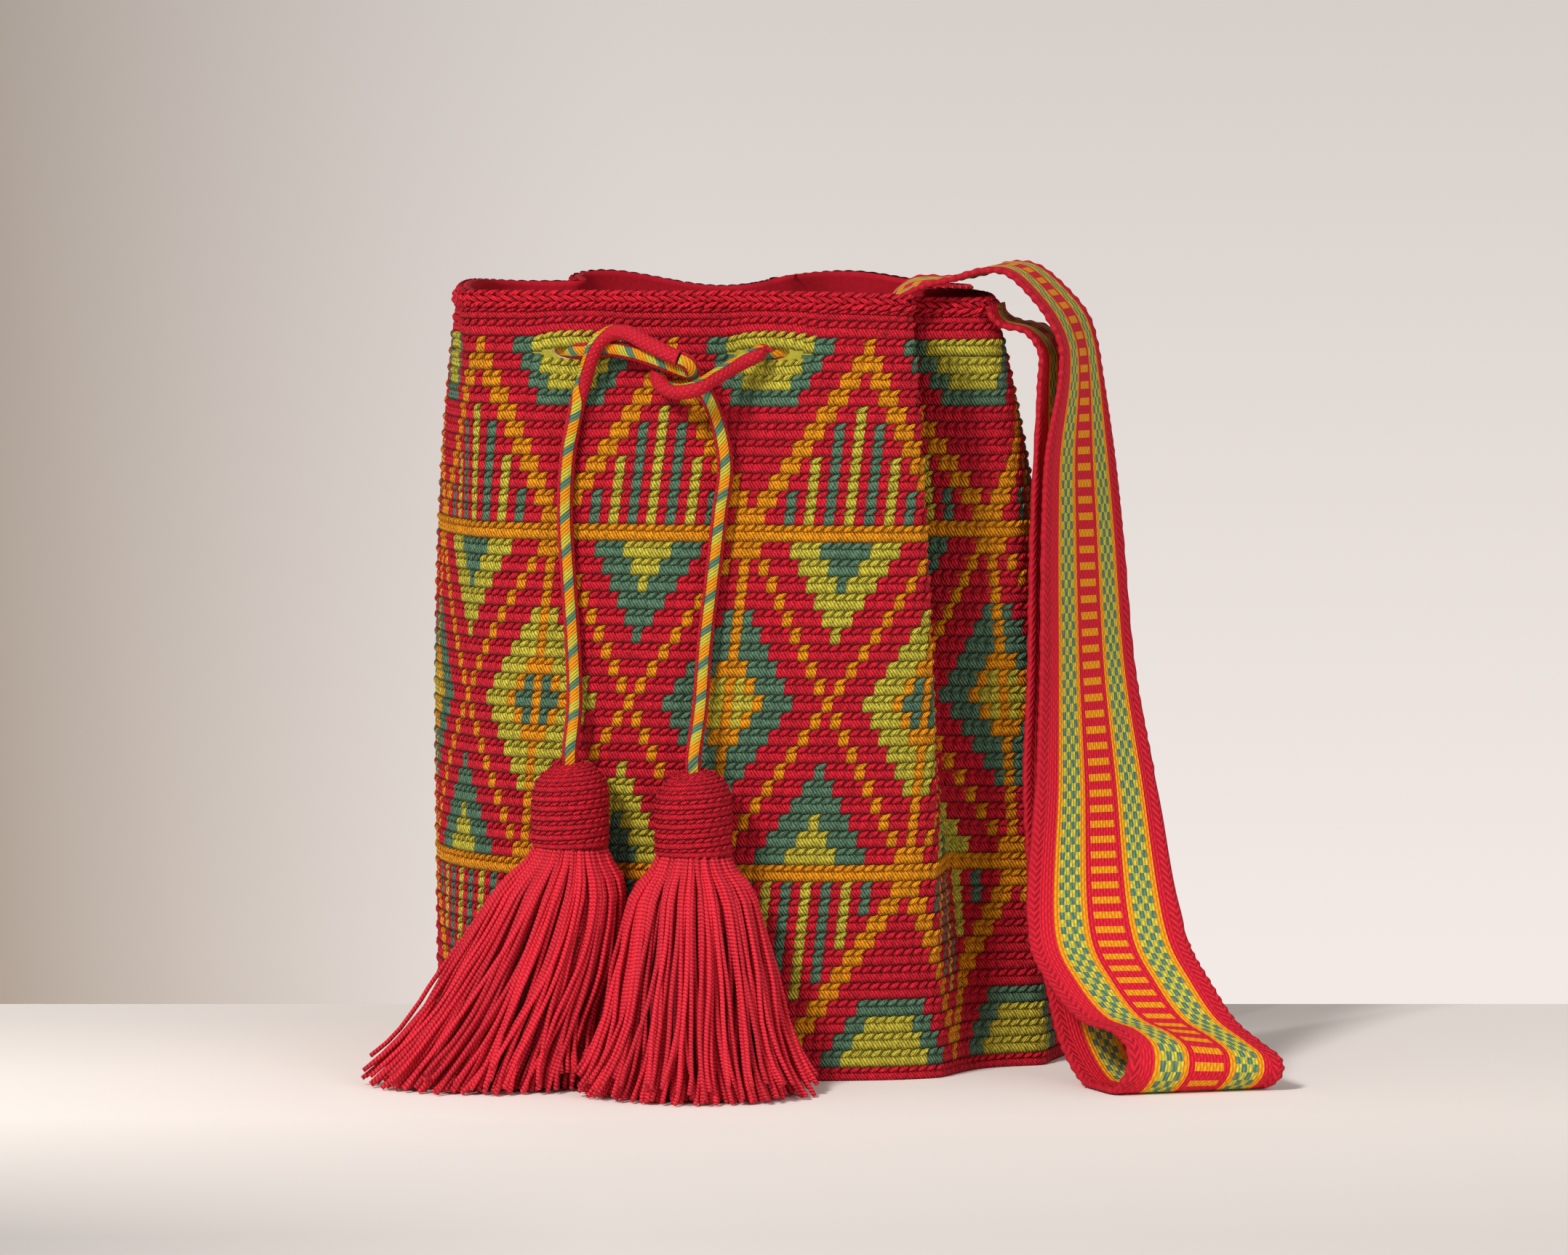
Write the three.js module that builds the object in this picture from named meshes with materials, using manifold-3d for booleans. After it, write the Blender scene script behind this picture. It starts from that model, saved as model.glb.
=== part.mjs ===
// Wayuu mochila: a crocheted bucket bag with a threaded drawstring, two tassels and a woven strap.
// Millimetres, +Z up. The origin is on the floor under the middle of the base, the front faces -Y.

import * as THREE from 'three';
import { mergeVertices } from 'three/addons/utils/BufferGeometryUtils.js';
import Module from 'manifold-3d';

const wasm = await Module();
wasm.setup();

// Bag body
const BAG_HEIGHT = 285;
const BASE_HALF_WIDTH = 118.5;
const BASE_HALF_DEPTH = 102;
const RIM_HALF_WIDTH = 98.5;
const RIM_HALF_DEPTH = 88;
const RIM_SHIFT_X = -11;
const RIM_SHIFT_Y = -10;
const SQUARENESS = 2.25;
const DRAW_IN_POWER = 3.2;
const WALL = 4;
const BASE_THICKNESS = 4.5;

// Crochet rows: one base edge round, the patterned rounds, then the rim rounds
const BASE_EDGE = 4.9;
const PATTERN_ROWS = 43;
const RIM_ROUNDS = [6.2, 4.3, 4.2, 2.0];
const RIDGE = 0.45;
const GROOVE = 0.55;

// Stitches round the bag, and the eyelets that the drawstring passes
const STITCHES_ROUND = 200;
const EYELETS = 10;
const EYELET_ROW = 0.85;
const EYELET_WIDTH = 18.6;
const EYELET_HEIGHT = 9.8;
const FIRST_APEX_X = 40.6;
const APEX_TO_EYELET = 10;

// Drawstring
const CORD = 5.8;
const CORD_SIDES = 8;

// Tassels: head, and the skirt of strands under it
const HEAD_RADIUS = 14.5;
const HEAD_HEIGHT = 30.5;
const HEAD_COURSES = 7;
const HEAD_DOME = 12;
const HEAD_GROOVE = 0.7;
const HEAD_BORE = 6.8;
const HEAD_BORE_DEPTH = 22;
const SKIRT_TOP_RADIUS = 13.4;
const SKIRT_LOBES = 17;
const STRAND_RIDGE = 2;

// Strap
const STRAP_THICKNESS = 2;
const SELVEDGE_THICKNESS = 2.6;
const SELVEDGE_SHARE = 0.13;

// The gap kept between pieces that touch
const SEAT_GAP = 0.3;

// How each skirt spreads: its middle moves by shift on the way down, to these half sizes
const SKIRTS = {
  left: { shift: [-30, -8], half: [46, 35], curve: 0.7 },
  right: { shift: [1, -24], half: [44.5, 37], curve: 0.7 },
};

// The band's way: near edge, far edge, bow. It starts inside the left rim, crosses the mouth, goes
// over the right rim, falls to the floor, folds under and comes back up to the right rim.
const STRAP_ROUTE = [
  [[-95.7, -46, 281], [-98.4, 14, 281], -3],
  [[-95.9, -46, 272.5], [-98.6, 14, 272.5], -3],
  [[-92.5, -47, 270.6], [-94, 13, 270.6], 0],
  [[-82, -50, 270], [-82, 10, 270], 0],
  [[-66, -51, 268], [-65, 9, 268], 0],
  [[-36, -57, 259], [-32, 3, 259], 0],
  [[-2, -66, 256], [6, -7, 256], 0],
  [[30, -70, 266], [40, -12, 270], 0],
  [[51, -71.5, 280.5], [58, -14, 287.4], 0],
  [[60, -72, 285.8], [73, -14, 288], 0],
  [[70.6, -70, 288.4], [84.5, -12, 290], 0],
  [[82.4, -66, 291.5], [96, -8, 293.3], 0],
  [[91, -64, 290.7], [105, -6, 292], 0],
  [[101.8, -63, 280.7], [117, -5, 282], 0],
  [[107.6, -62, 272.2], [123.5, -5, 273.5], 0],
  [[111, -62, 263.8], [126.5, -4.5, 264], 0],
  [[111, -63, 252.7], [128.5, -6, 252], 0],
  [[106, -67, 225], [132.5, -13, 224], 0],
  [[104.5, -70, 197], [135.5, -19, 195], 0],
  [[103.7, -76, 145.5], [139.8, -28, 145], 0],
  [[102, -85, 107], [146.5, -45, 106], 0],
  [[98.6, -105, 51], [156.5, -90, 50], 0],
  [[105.3, -118, 37], [163.9, -105, 36], 0],
  [[116.2, -130, 25.5], [173, -116, 22.5], 0],
  [[126.6, -138, 22.6], [182, -124, 15.5], 0],
  [[131.9, -144, 17.5], [188, -130, 11], 0],
  [[131.7, -148, 9.2], [188.5, -132, 6.8], 0],
  [[127, -144, 1.5], [184, -127, 1.5], 0],
  [[118, -124, 1.5], [174, -104, 1.5], 0],
  [[110, -110, 14], [166, -90, 12], 0],
  [[105, -99, 34], [161, -79, 32], 0],
  [[100, -91, 62], [153, -64, 60], 0],
  [[97.5, -80, 105], [142, -40, 104], 0],
  [[99.3, -72.6, 145], [135.5, -24.6, 144.5], 0],
  [[100.4, -66.5, 197], [131.4, -15.3, 195], 0],
  [[103.3, -60, 249], [120.8, -3, 248], 0],
  [[103.5, -60, 262], [118, -2, 262], 0],
  [[98, -60.5, 269.5], [108, -2, 269.5], 0],
  [[89.5, -61.5, 273], [98, -2.5, 273], -1],
  [[85.6, -62.5, 277.5], [91.5, -3.2, 277.5], -3],
  [[84.4, -62.5, 283], [90.5, -3.2, 283], -3],
];

const RED = 0xc01c33;
const BAND_RED = 0xb81f34;

// Folds of the soft wall. The angles are in degrees about the vertical axis, 0 towards +X and
// -90 towards the front. Each pair gives the value at the base and the value at the rim, and fade
// says how fast the rise grows with height.
const FOLDS = [
  {
    name: 'front crease', angle: [-57, -54.5], rise: [14, 26],
    before: [22, 16], after: [14, 5], soft: [0.9, 0.12], fade: 1,
  },
  {
    name: 'valley behind it', angle: [-42, -43], rise: [0, -5],
    before: [6, 4], after: [6, 4], soft: [1, 1], fade: 1,
  },
  {
    name: 'right lobe', angle: [-28, -27], rise: [-3, 5],
    before: [12, 12], after: [12, 12], soft: [1, 1], fade: 1,
  },
  {
    name: 'front hollow', angle: [-92, -87], rise: [0, -6.5],
    before: [7, 6], after: [7, 6], soft: [1, 1], fade: 1,
  },
  {
    name: 'left front hollow', angle: [-118, -116], rise: [0, -5],
    before: [7, 6], after: [7, 6], soft: [1, 1], fade: 1,
  },
  {
    name: 'right back gather', angle: [4, 4], rise: [0, -40],
    before: [9, 6], after: [9, 6], soft: [1, 0.6], fade: 2.2,
  },
  {
    name: 'back gather', angle: [72, 72], rise: [0, -42],
    before: [9, 6], after: [9, 6], soft: [1, 0.6], fade: 2.2,
  },
  {
    name: 'left back gather', angle: [141, 141], rise: [0, -40],
    before: [9, 6], after: [9, 6], soft: [1, 0.6], fade: 2.2,
  },
];

// Low and high stretches of the rim, as [angle, width, rise]
const RIM_WAVES = [[-30, 26, -3.2], [60, 16, 2.4], [92, 12, -1.5], [122, 16, 2.6], [165, 18, 2.2]];

const lerp = THREE.MathUtils.lerp;
const radians = THREE.MathUtils.degToRad;

// Plan of the bag

function wrapDegrees(angle) {
  return ((angle + 540) % 360) - 180;
}

function foldRise(fold, degrees, share) {
  const turn = wrapDegrees(degrees - lerp(fold.angle[0], fold.angle[1], share));
  const side = turn < 0 ? fold.before : fold.after;
  const soft = lerp(fold.soft[0], fold.soft[1], share);
  const t = turn / lerp(side[0], side[1], share);
  return lerp(fold.rise[0], fold.rise[1], share ** fold.fade) * Math.exp(soft - Math.hypot(t, soft));
}

function planRadius(degrees, z) {
  const share = z / BAG_HEIGHT;
  const draw = share ** DRAW_IN_POWER;
  const halfWidth = lerp(BASE_HALF_WIDTH, RIM_HALF_WIDTH, draw);
  const halfDepth = lerp(BASE_HALF_DEPTH, RIM_HALF_DEPTH, draw);
  const c = Math.abs(Math.cos(radians(degrees))) / halfWidth;
  const s = Math.abs(Math.sin(radians(degrees))) / halfDepth;
  let radius = (c ** SQUARENESS + s ** SQUARENESS) ** (-1 / SQUARENESS);
  for (const fold of FOLDS) radius += foldRise(fold, degrees, share);
  return radius;
}

function planCentre(z) {
  const share = (z / BAG_HEIGHT) ** 2;
  return [RIM_SHIFT_X * share, RIM_SHIFT_Y * share];
}

function wallSlope(degrees, z) {
  const step = 1.5;
  const change = planRadius(degrees + step, z) - planRadius(degrees - step, z);
  return change / radians(2 * step) / planRadius(degrees, z);
}

function rimScale(degrees, z) {
  let rise = 0;
  for (const [angle, width, height] of RIM_WAVES) {
    rise += height * Math.exp(-((wrapDegrees(degrees - angle) / width) ** 2));
  }
  return 1 + (rise / BAG_HEIGHT) * (z / BAG_HEIGHT) ** 3;
}

// A point of the wall, moved out from its outer face along the wall's own normal
function wallPoint(degrees, z, out) {
  const [cx, cy] = planCentre(z);
  const radius = planRadius(degrees, z);
  const slope = wallSlope(degrees, z);
  const a = radians(degrees);
  const reach = out / Math.hypot(1, slope);
  const x = cx + Math.cos(a) * (radius + reach) + Math.sin(a) * slope * reach;
  const y = cy + Math.sin(a) * (radius + reach) - Math.cos(a) * slope * reach;
  return new THREE.Vector3(x, y, z * rimScale(degrees, z));
}

// The same, moved straight out from the axis, which keeps a closed loop from crossing itself
function loopPoint(degrees, z, out) {
  const [cx, cy] = planCentre(z);
  const a = radians(degrees);
  const radius = planRadius(degrees, z) + out * Math.hypot(1, wallSlope(degrees, z));
  return new THREE.Vector3(cx + Math.cos(a) * radius, cy + Math.sin(a) * radius, z * rimScale(degrees, z));
}

// Directions of the wall's columns of faces, as turns from the crease: closer together at the
// crease, on the front and at each gather
function columnTurns() {
  const front = [-76, -66, -57, -46, -38, -32.5, -27, -18, -9, -3, 0, 3, 8, 12, 20, 29];
  const gathers = FOLDS.filter(({ name }) => name.endsWith('gather'));
  const back = gathers.flatMap((fold, i) => {
    const middle = fold.angle[1] - FOLDS[0].angle[1];
    const flat = i < gathers.length - 1 ? [34] : [35, 53, 71];
    return [-18, -9, -3, 3, 9, 18, ...flat].map((step) => middle + step);
  });
  return front.concat(back);
}

function loop(z, out) {
  const crease = lerp(FOLDS[0].angle[0], FOLDS[0].angle[1], z / BAG_HEIGHT);
  return columnTurns().map((turn) => loopPoint(crease + turn, z, out));
}

// Closed body from a stack of loops, closed at both ends by fans. In a flat band the second half of
// each loop runs back under the first, so its squares are halved the other way, to keep in step.

function stackGeometry(loops, flat = false) {
  const sides = loops[0].length;
  const positions = [];
  for (const points of loops) {
    for (const p of points) positions.push(p.x, p.y, p.z);
  }
  for (const points of [loops[0], loops[loops.length - 1]]) {
    const middle = new THREE.Vector3();
    for (const p of points) middle.add(p);
    middle.divideScalar(sides);
    positions.push(middle.x, middle.y, middle.z);
  }
  const index = [];
  for (let level = 0; level < loops.length - 1; level += 1) {
    for (let i = 0; i < sides; i += 1) {
      const a = level * sides + i;
      const b = level * sides + ((i + 1) % sides);
      if (flat && 2 * i >= sides) index.push(a, b, a + sides, b, b + sides, a + sides);
      else index.push(a, b, b + sides, a, b + sides, a + sides);
    }
  }
  const first = loops.length * sides;
  const top = (loops.length - 1) * sides;
  for (let i = 0; i < sides; i += 1) {
    const next = (i + 1) % sides;
    index.push(first, next, i);
    index.push(first + 1, top + i, top + next);
  }
  const geometry = new THREE.BufferGeometry();
  geometry.setAttribute('position', new THREE.Float32BufferAttribute(positions, 3));
  geometry.setIndex(index);
  return geometry;
}

function toSolid(geometry) {
  const bare = geometry.clone();
  bare.deleteAttribute('normal');
  bare.deleteAttribute('uv');
  const merged = mergeVertices(bare, 1e-4);
  const vertProperties = new Float32Array(merged.getAttribute('position').array);
  const triVerts = new Uint32Array(merged.getIndex().array);
  return new wasm.Manifold(new wasm.Mesh({ numProp: 3, vertProperties, triVerts }));
}

function toGeometry(solid) {
  const mesh = solid.getMesh();
  const geometry = new THREE.BufferGeometry();
  geometry.setAttribute('position', new THREE.BufferAttribute(new Float32Array(mesh.vertProperties), 3));
  geometry.setIndex(new THREE.BufferAttribute(new Uint32Array(mesh.triVerts), 1));
  geometry.computeVertexNormals();
  return geometry;
}

// Crochet rows, bottom to top, as levels with how far each stands out of the wall

function rowHeight() {
  const rim = RIM_ROUNDS.reduce((sum, height) => sum + height, 0);
  return (BAG_HEIGHT - BASE_EDGE - rim) / PATTERN_ROWS;
}

function rowTop(row) {
  return BASE_EDGE + rowHeight() * (PATTERN_ROWS - row);
}

function outerLevels() {
  const levels = [{ z: 0, out: -3.2 }, { z: 1.2, out: -0.9 }, { z: 0.6 * BASE_EDGE, out: 0.3 }];
  let z = BASE_EDGE;
  const rounds = Array(PATTERN_ROWS).fill(rowHeight()).concat(RIM_ROUNDS);
  for (const height of rounds) {
    levels.push({ z, out: -GROOVE });
    levels.push({ z: z + 0.65 * height, out: RIDGE });
    z += height;
  }
  levels.push({ z: BAG_HEIGHT, out: -0.9 });
  return levels;
}

function innerLevels() {
  const levels = [{ z: BAG_HEIGHT - 0.2, out: 0.9 - WALL }, { z: BAG_HEIGHT - 2.5, out: -WALL }];
  for (const share of [0.93, 0.8, 0.6, 0.35, 0.1]) {
    levels.push({ z: share * BAG_HEIGHT, out: -WALL });
  }
  levels.push({ z: BASE_THICKNESS + 1.5, out: -WALL }, { z: BASE_THICKNESS, out: -WALL - 1.5 });
  return levels;
}

// Distances along the wall, and the eyelets spaced by them

function angleAtX(x, z) {
  let low = -150;
  let high = FOLDS[0].angle[1] - 1;
  for (let i = 0; i < 40; i += 1) {
    const mid = (low + high) / 2;
    if (wallPoint(mid, z, 0).x < x) low = mid;
    else high = mid;
  }
  return low;
}

function girth(z) {
  let sum = 0;
  for (let turn = 0; turn < 360; turn += 1) {
    sum += loopPoint(turn, z, 0).distanceTo(loopPoint(turn + 1, z, 0));
  }
  return sum;
}

function angleAlong(start, z, distance) {
  const step = 0.25 * Math.sign(distance);
  let angle = start;
  let sum = 0;
  while (sum < Math.abs(distance)) {
    sum += loopPoint(angle, z, 0).distanceTo(loopPoint(angle + step, z, 0));
    angle += step;
  }
  return angle;
}

const eyeletZ = rowTop(EYELET_ROW);
const stitch = girth(eyeletZ) / STITCHES_ROUND;
const firstEyelet = angleAlong(angleAtX(FIRST_APEX_X, eyeletZ), eyeletZ, -3 * APEX_TO_EYELET * stitch);

function eyeletAngle(number) {
  const spacing = (STITCHES_ROUND / EYELETS) * stitch;
  return number === 0 ? firstEyelet : angleAlong(firstEyelet, eyeletZ, number * spacing);
}

function eyeletCutter(number) {
  const degrees = eyeletAngle(number);
  const outside = wallPoint(degrees, eyeletZ, 8);
  const inside = wallPoint(degrees, eyeletZ, -WALL - 8);
  const outward = outside.clone().sub(inside).normalize();
  const up = new THREE.Vector3(0, 0, 1);
  const along = new THREE.Vector3().crossVectors(up, outward).normalize();
  const outline = new THREE.Shape();
  outline.absellipse(0, 0, EYELET_WIDTH / 2, EYELET_HEIGHT / 2, 0, 2 * Math.PI, false, 0);
  const depth = outside.distanceTo(inside);
  const slot = new THREE.ExtrudeGeometry(outline, { depth, bevelEnabled: false, curveSegments: 4 });
  const place = new THREE.Matrix4().makeBasis(along, up, outward).setPosition(inside);
  return toSolid(slot.applyMatrix4(place));
}

function bagBody() {
  const levels = outerLevels().concat(innerLevels());
  let solid = toSolid(stackGeometry(levels.map((level) => loop(level.z, level.out))));
  for (let number = 0; number < EYELETS; number += 1) {
    solid = solid.subtract(eyeletCutter(number));
  }
  return toGeometry(solid);
}

// The room that the bag takes up, for cutting what leans on it
function bagEnvelope(clearance) {
  const levels = Array.from({ length: 13 }, (_, i) => (i / 12) * BAG_HEIGHT);
  const loops = levels.map((z) => loop(z, RIDGE + clearance));
  loops[0].forEach((p) => p.setZ(-1));
  return toSolid(stackGeometry(loops));
}

// Drawstring

// Its two tails on the front, from the eyelet to the tassel. Each point is [x, z, out], where out
// is how far the cord's middle stands off the wall.
const LEFT_TAIL = [
  [-54, 264.2, 5], [-43, 262.6, 8.5], [-34, 259.8, 9.6], [-26.5, 256.8, 10], [-22.6, 256.2, 12.5],
  [-24, 259.4, 15.3], [-31, 262.6, 15], [-39, 266.4, 13], [-46, 269.8, 11], [-52, 269.6, 9.6],
  [-57, 265.6, 9.4], [-59.6, 259.6, 8], [-61.6, 253, 5], [-64.4, 243, 4], [-67.6, 226, 4],
  [-68.7, 205, 4], [-67.4, 180, 4], [-65.8, 155, 4.6], [-65.3, 136, 8.5], [-66.6, 120, 16.8],
];
const RIGHT_TAIL = [
  [1, 262.6, 7], [-7, 258.4, 11], [-14.5, 254.2, 15], [-21, 250.4, 17.6], [-28, 249.2, 14.5],
  [-33.6, 251.4, 8.5], [-34.8, 255.6, 4.2], [-30.5, 258.6, 3.6], [-24, 256.8, 3.6],
  [-18.6, 249.6, 3.8], [-14, 239.6, 4], [-10.8, 223, 4], [-12.8, 205, 4], [-15.4, 182, 4],
  [-18.2, 158, 4.6], [-19.8, 136, 8.5], [-22.2, 118, 15.6],
];
const TASSEL_TOP = { left: 116, right: 114 };

// Eyelets that the cord passes round the back, first one outwards, and the slack between them
const THREADED = [3, 4, 5, 6, 7, 8];
const RIGHT_SLACK = 6;
const LEFT_SLACK = 3;
const BACK_SLACK = 1.5;

function tailPoint([x, z, out]) {
  const point = wallPoint(angleAtX(x, z), z, 0);
  return new THREE.Vector3(x, point.y - out, z);
}

function headPlace(side) {
  const tail = side === 'left' ? LEFT_TAIL : RIGHT_TAIL;
  const end = tailPoint(tail[tail.length - 1]);
  return new THREE.Vector3(end.x, end.y, TASSEL_TOP[side]);
}

// Where the cord goes through an eyelet: from the inside out when way is 1, back in when -1,
// going round the bag in the direction of rising angles
function throughEyelet(number, way) {
  const degrees = eyeletAngle(number);
  const passes = [[-11.5, -10], [-3, -5.4], [3, 1], [11.5, 4.9]];
  if (way < 0) passes.reverse();
  return passes.map(([along, out]) => {
    const angle = angleAlong(degrees, eyeletZ, way * along);
    return wallPoint(angle, eyeletZ, out);
  });
}

// A straight stretch between two eyelets, with its middle bowed in towards the bag's axis
function stretch(start, end, shares, inward) {
  const middle = new THREE.Vector3(RIM_SHIFT_X, RIM_SHIFT_Y, eyeletZ);
  return shares.map((share) => {
    const point = start.clone().lerp(end, share);
    const bow = Math.sin(Math.PI * share) * inward;
    return point.lerp(middle, bow / point.distanceTo(middle));
  });
}

// A tail's own way through its eyelet, from inside to the first point outside
function tailThrough(number, side) {
  const degrees = eyeletAngle(number);
  return [[-9, -8.6], [-2.6, -4.6], [3, 1.2]].map(([along, out]) => {
    return wallPoint(angleAlong(degrees, eyeletZ, side * along), eyeletZ, out);
  });
}

function headEnd(side) {
  const head = headPlace(side);
  return [head.clone().setZ(head.z - 2), head.clone().setZ(head.z - HEAD_BORE_DEPTH + 1)];
}

// The whole way of the cord, from the right tassel round the bag to the left one
function drawstringRoute() {
  const passes = THREADED.map((number, i) => throughEyelet(number, i % 2 === 0 ? 1 : -1));
  const rightHole = tailThrough(1, -1);
  const leftHole = tailThrough(0, 1);
  const route = headEnd('right').reverse();
  route.push(...RIGHT_TAIL.map(tailPoint).reverse(), ...rightHole.slice().reverse());
  route.push(...stretch(rightHole[0], passes[0][0], [0.25, 0.5, 0.75], RIGHT_SLACK));
  passes.forEach((points, i) => {
    route.push(...points);
    if (i === passes.length - 1) return;
    route.push(...stretch(points[3], passes[i + 1][0], [0.5], i % 2 === 0 ? 0 : BACK_SLACK));
  });
  const last = passes[passes.length - 1][3];
  route.push(...stretch(last, leftHole[0], [0.2, 0.4, 0.6, 0.8], LEFT_SLACK));
  route.push(...leftHole, ...LEFT_TAIL.map(tailPoint), ...headEnd('left'));
  return route;
}

// A smooth curve whose steps fall on the route's own points
function drawstring() {
  const points = drawstringRoute();
  const curve = new THREE.CatmullRomCurve3(points, false, 'centripetal');
  curve.getUtoTmapping = (u) => u;
  const outline = new THREE.Shape();
  for (let i = 0; i < CORD_SIDES; i += 1) {
    const a = (2 * Math.PI * i) / CORD_SIDES;
    const place = [Math.cos(a) * CORD / 2, Math.sin(a) * CORD / 2];
    if (i === 0) outline.moveTo(...place);
    else outline.lineTo(...place);
  }
  const steps = points.length - 1;
  return new THREE.ExtrudeGeometry(outline, { steps, extrudePath: curve, bevelEnabled: false });
}

// Tassels

function tasselHead() {
  const bore = HEAD_BORE / 2;
  const floor = HEAD_HEIGHT - HEAD_BORE_DEPTH;
  const profile = [[0, floor], [bore, floor], [bore, HEAD_HEIGHT]];
  const course = HEAD_HEIGHT / HEAD_COURSES;
  const radiusAt = (depth) => {
    const dome = Math.sqrt(1 - Math.max(0, 1 - depth / HEAD_DOME) ** 2);
    return lerp(bore + HEAD_GROOVE, HEAD_RADIUS, dome);
  };
  for (let i = 0; i < HEAD_COURSES; i += 1) {
    const middle = (i + 0.5) * course;
    const foot = (i + 1) * course;
    profile.push([radiusAt(middle), HEAD_HEIGHT - middle]);
    profile.push([radiusAt(foot) - HEAD_GROOVE, HEAD_HEIGHT - foot]);
  }
  profile.push([0, 0]);
  const points = profile.map(([r, z]) => new THREE.Vector2(r, z));
  return new THREE.LatheGeometry(points.reverse(), 12).rotateX(Math.PI / 2);
}

// The skirt's outline at a share of the way down: middle, half width and half depth
function skirtSection(side, share, grow) {
  const head = headPlace(side);
  const spread = SKIRTS[side];
  const flare = share ** spread.curve;
  return {
    x: head.x + spread.shift[0] * share,
    y: head.y + spread.shift[1] * share,
    z: lerp(head.z - HEAD_HEIGHT - SEAT_GAP, 0, share),
    halfWidth: lerp(SKIRT_TOP_RADIUS, spread.half[0], flare) + grow,
    halfDepth: lerp(SKIRT_TOP_RADIUS, spread.half[1], flare) + grow,
  };
}

function skirtSolid(side, ridge, grow) {
  const points = 2 * SKIRT_LOBES;
  const shares = [1, 0.85, 0.62, 0.4, 0.22, 0.08, 0];
  const loops = shares.map((share) => {
    const section = skirtSection(side, share, grow);
    return Array.from({ length: points }, (_, i) => {
      const a = (2 * Math.PI * i) / points;
      const swell = 1 - (i % 2 ? ridge : 0) / section.halfDepth;
      const x = section.x + Math.cos(a) * section.halfWidth * swell;
      const y = section.y + Math.sin(a) * section.halfDepth * swell;
      return new THREE.Vector3(x, y, section.z);
    });
  });
  return toSolid(stackGeometry(loops));
}

// Each skirt is pressed flat where it leans on the bag, and the left one where the right one is
function tasselSkirt(side) {
  let solid = skirtSolid(side, STRAND_RIDGE, 0).subtract(bagEnvelope(SEAT_GAP));
  if (side === 'left') solid = solid.subtract(skirtSolid('right', 0, SEAT_GAP));
  return toGeometry(solid);
}

// Strap

// A flat band between two edges: each row is a point of the near edge, then of the far edge, then
// how far the middle of the band bows out from the straight line between them
function band(rows) {
  const near = new THREE.CatmullRomCurve3(rows.map(([n]) => new THREE.Vector3(...n)), false, 'centripetal');
  const far = new THREE.CatmullRomCurve3(rows.map(([, f]) => new THREE.Vector3(...f)), false, 'centripetal');
  const steps = rows.length - 1;
  const across = [-1, -1 + 2 * SELVEDGE_SHARE, 1 - 2 * SELVEDGE_SHARE, 1];
  const bowAt = 1 - across[1] ** 2;
  const loops = [];
  for (let i = 0; i <= steps; i += 1) {
    const t = i / steps;
    const low = near.getPoint(t);
    const high = far.getPoint(t);
    const width = high.clone().sub(low);
    const forward = near.getTangent(t).add(far.getTangent(t)).normalize();
    const normal = new THREE.Vector3().crossVectors(forward, width).normalize();
    const bow = rows[i][2];
    const middle = low.clone().add(high).divideScalar(2);
    const place = (u, lift) => {
      const point = middle.clone().addScaledVector(width, u / 2);
      return point.addScaledVector(normal, lift + bow * ((1 - u * u) / bowAt));
    };
    const half = (u) => (Math.abs(u) === 1 ? SELVEDGE_THICKNESS : STRAP_THICKNESS) / 2;
    const upper = across.map((u) => place(u, half(u)));
    const lower = across.map((u) => place(u, -half(u))).reverse();
    loops.push([...upper, ...lower].reverse());
  }
  return stackGeometry(loops, true);
}

function strap() {
  const geometry = band(STRAP_ROUTE);
  geometry.computeVertexNormals();
  return geometry;
}

// Assembly

const bag = new THREE.Group();

function addPart(name, geometry, color, roughness) {
  const material = new THREE.MeshStandardMaterial({ color, roughness, metalness: 0 });
  const mesh = new THREE.Mesh(geometry, material);
  mesh.name = name;
  bag.add(mesh);
  return mesh;
}

addPart('bag_body', bagBody(), RED, 0.85);
addPart('drawstring', drawstring(), RED, 0.8);
addPart('strap', strap(), BAND_RED, 0.8);
for (const side of ['left', 'right']) {
  const head = addPart(`tassel_head_${side}`, tasselHead(), RED, 0.85);
  const place = headPlace(side);
  head.position.set(place.x, place.y, place.z - HEAD_HEIGHT);
  addPart(`tassel_skirt_${side}`, tasselSkirt(side), RED, 0.75);
}

export default bag;
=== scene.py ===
"""Crocheted mochila bag: the dressed model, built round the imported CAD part.

Lengths are in metres, except where a comment says millimetres. The origin is on the floor under
the middle of the base, the front faces -Y and the strap hangs down on the +X side.
"""

import math

import bpy
import numpy as np
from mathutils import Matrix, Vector


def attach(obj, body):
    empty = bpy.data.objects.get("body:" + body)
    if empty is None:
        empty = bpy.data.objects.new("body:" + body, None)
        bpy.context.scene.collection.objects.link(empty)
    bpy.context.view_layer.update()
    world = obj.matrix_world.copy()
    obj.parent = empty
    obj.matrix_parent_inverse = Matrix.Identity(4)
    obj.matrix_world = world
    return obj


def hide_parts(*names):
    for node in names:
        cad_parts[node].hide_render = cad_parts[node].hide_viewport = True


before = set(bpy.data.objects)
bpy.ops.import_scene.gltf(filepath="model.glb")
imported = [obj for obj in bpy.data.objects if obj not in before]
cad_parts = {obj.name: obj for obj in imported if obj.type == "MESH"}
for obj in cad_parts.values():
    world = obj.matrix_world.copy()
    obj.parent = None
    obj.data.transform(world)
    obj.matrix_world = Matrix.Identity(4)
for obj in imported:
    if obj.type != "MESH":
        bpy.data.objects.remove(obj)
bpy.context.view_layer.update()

bl_info = {
    "name": "Crocheted Mochila Bag",
    "version": (1, 0, 0),
    "blender": (4, 5, 0),
    "location": "3D View > Sidebar > Mochila",
    "description": "Builds the crocheted bag, its drawstring, tassels and woven strap",
    "category": "Object",
}

MM = 0.001


# ---- the bag's own shape

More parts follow.
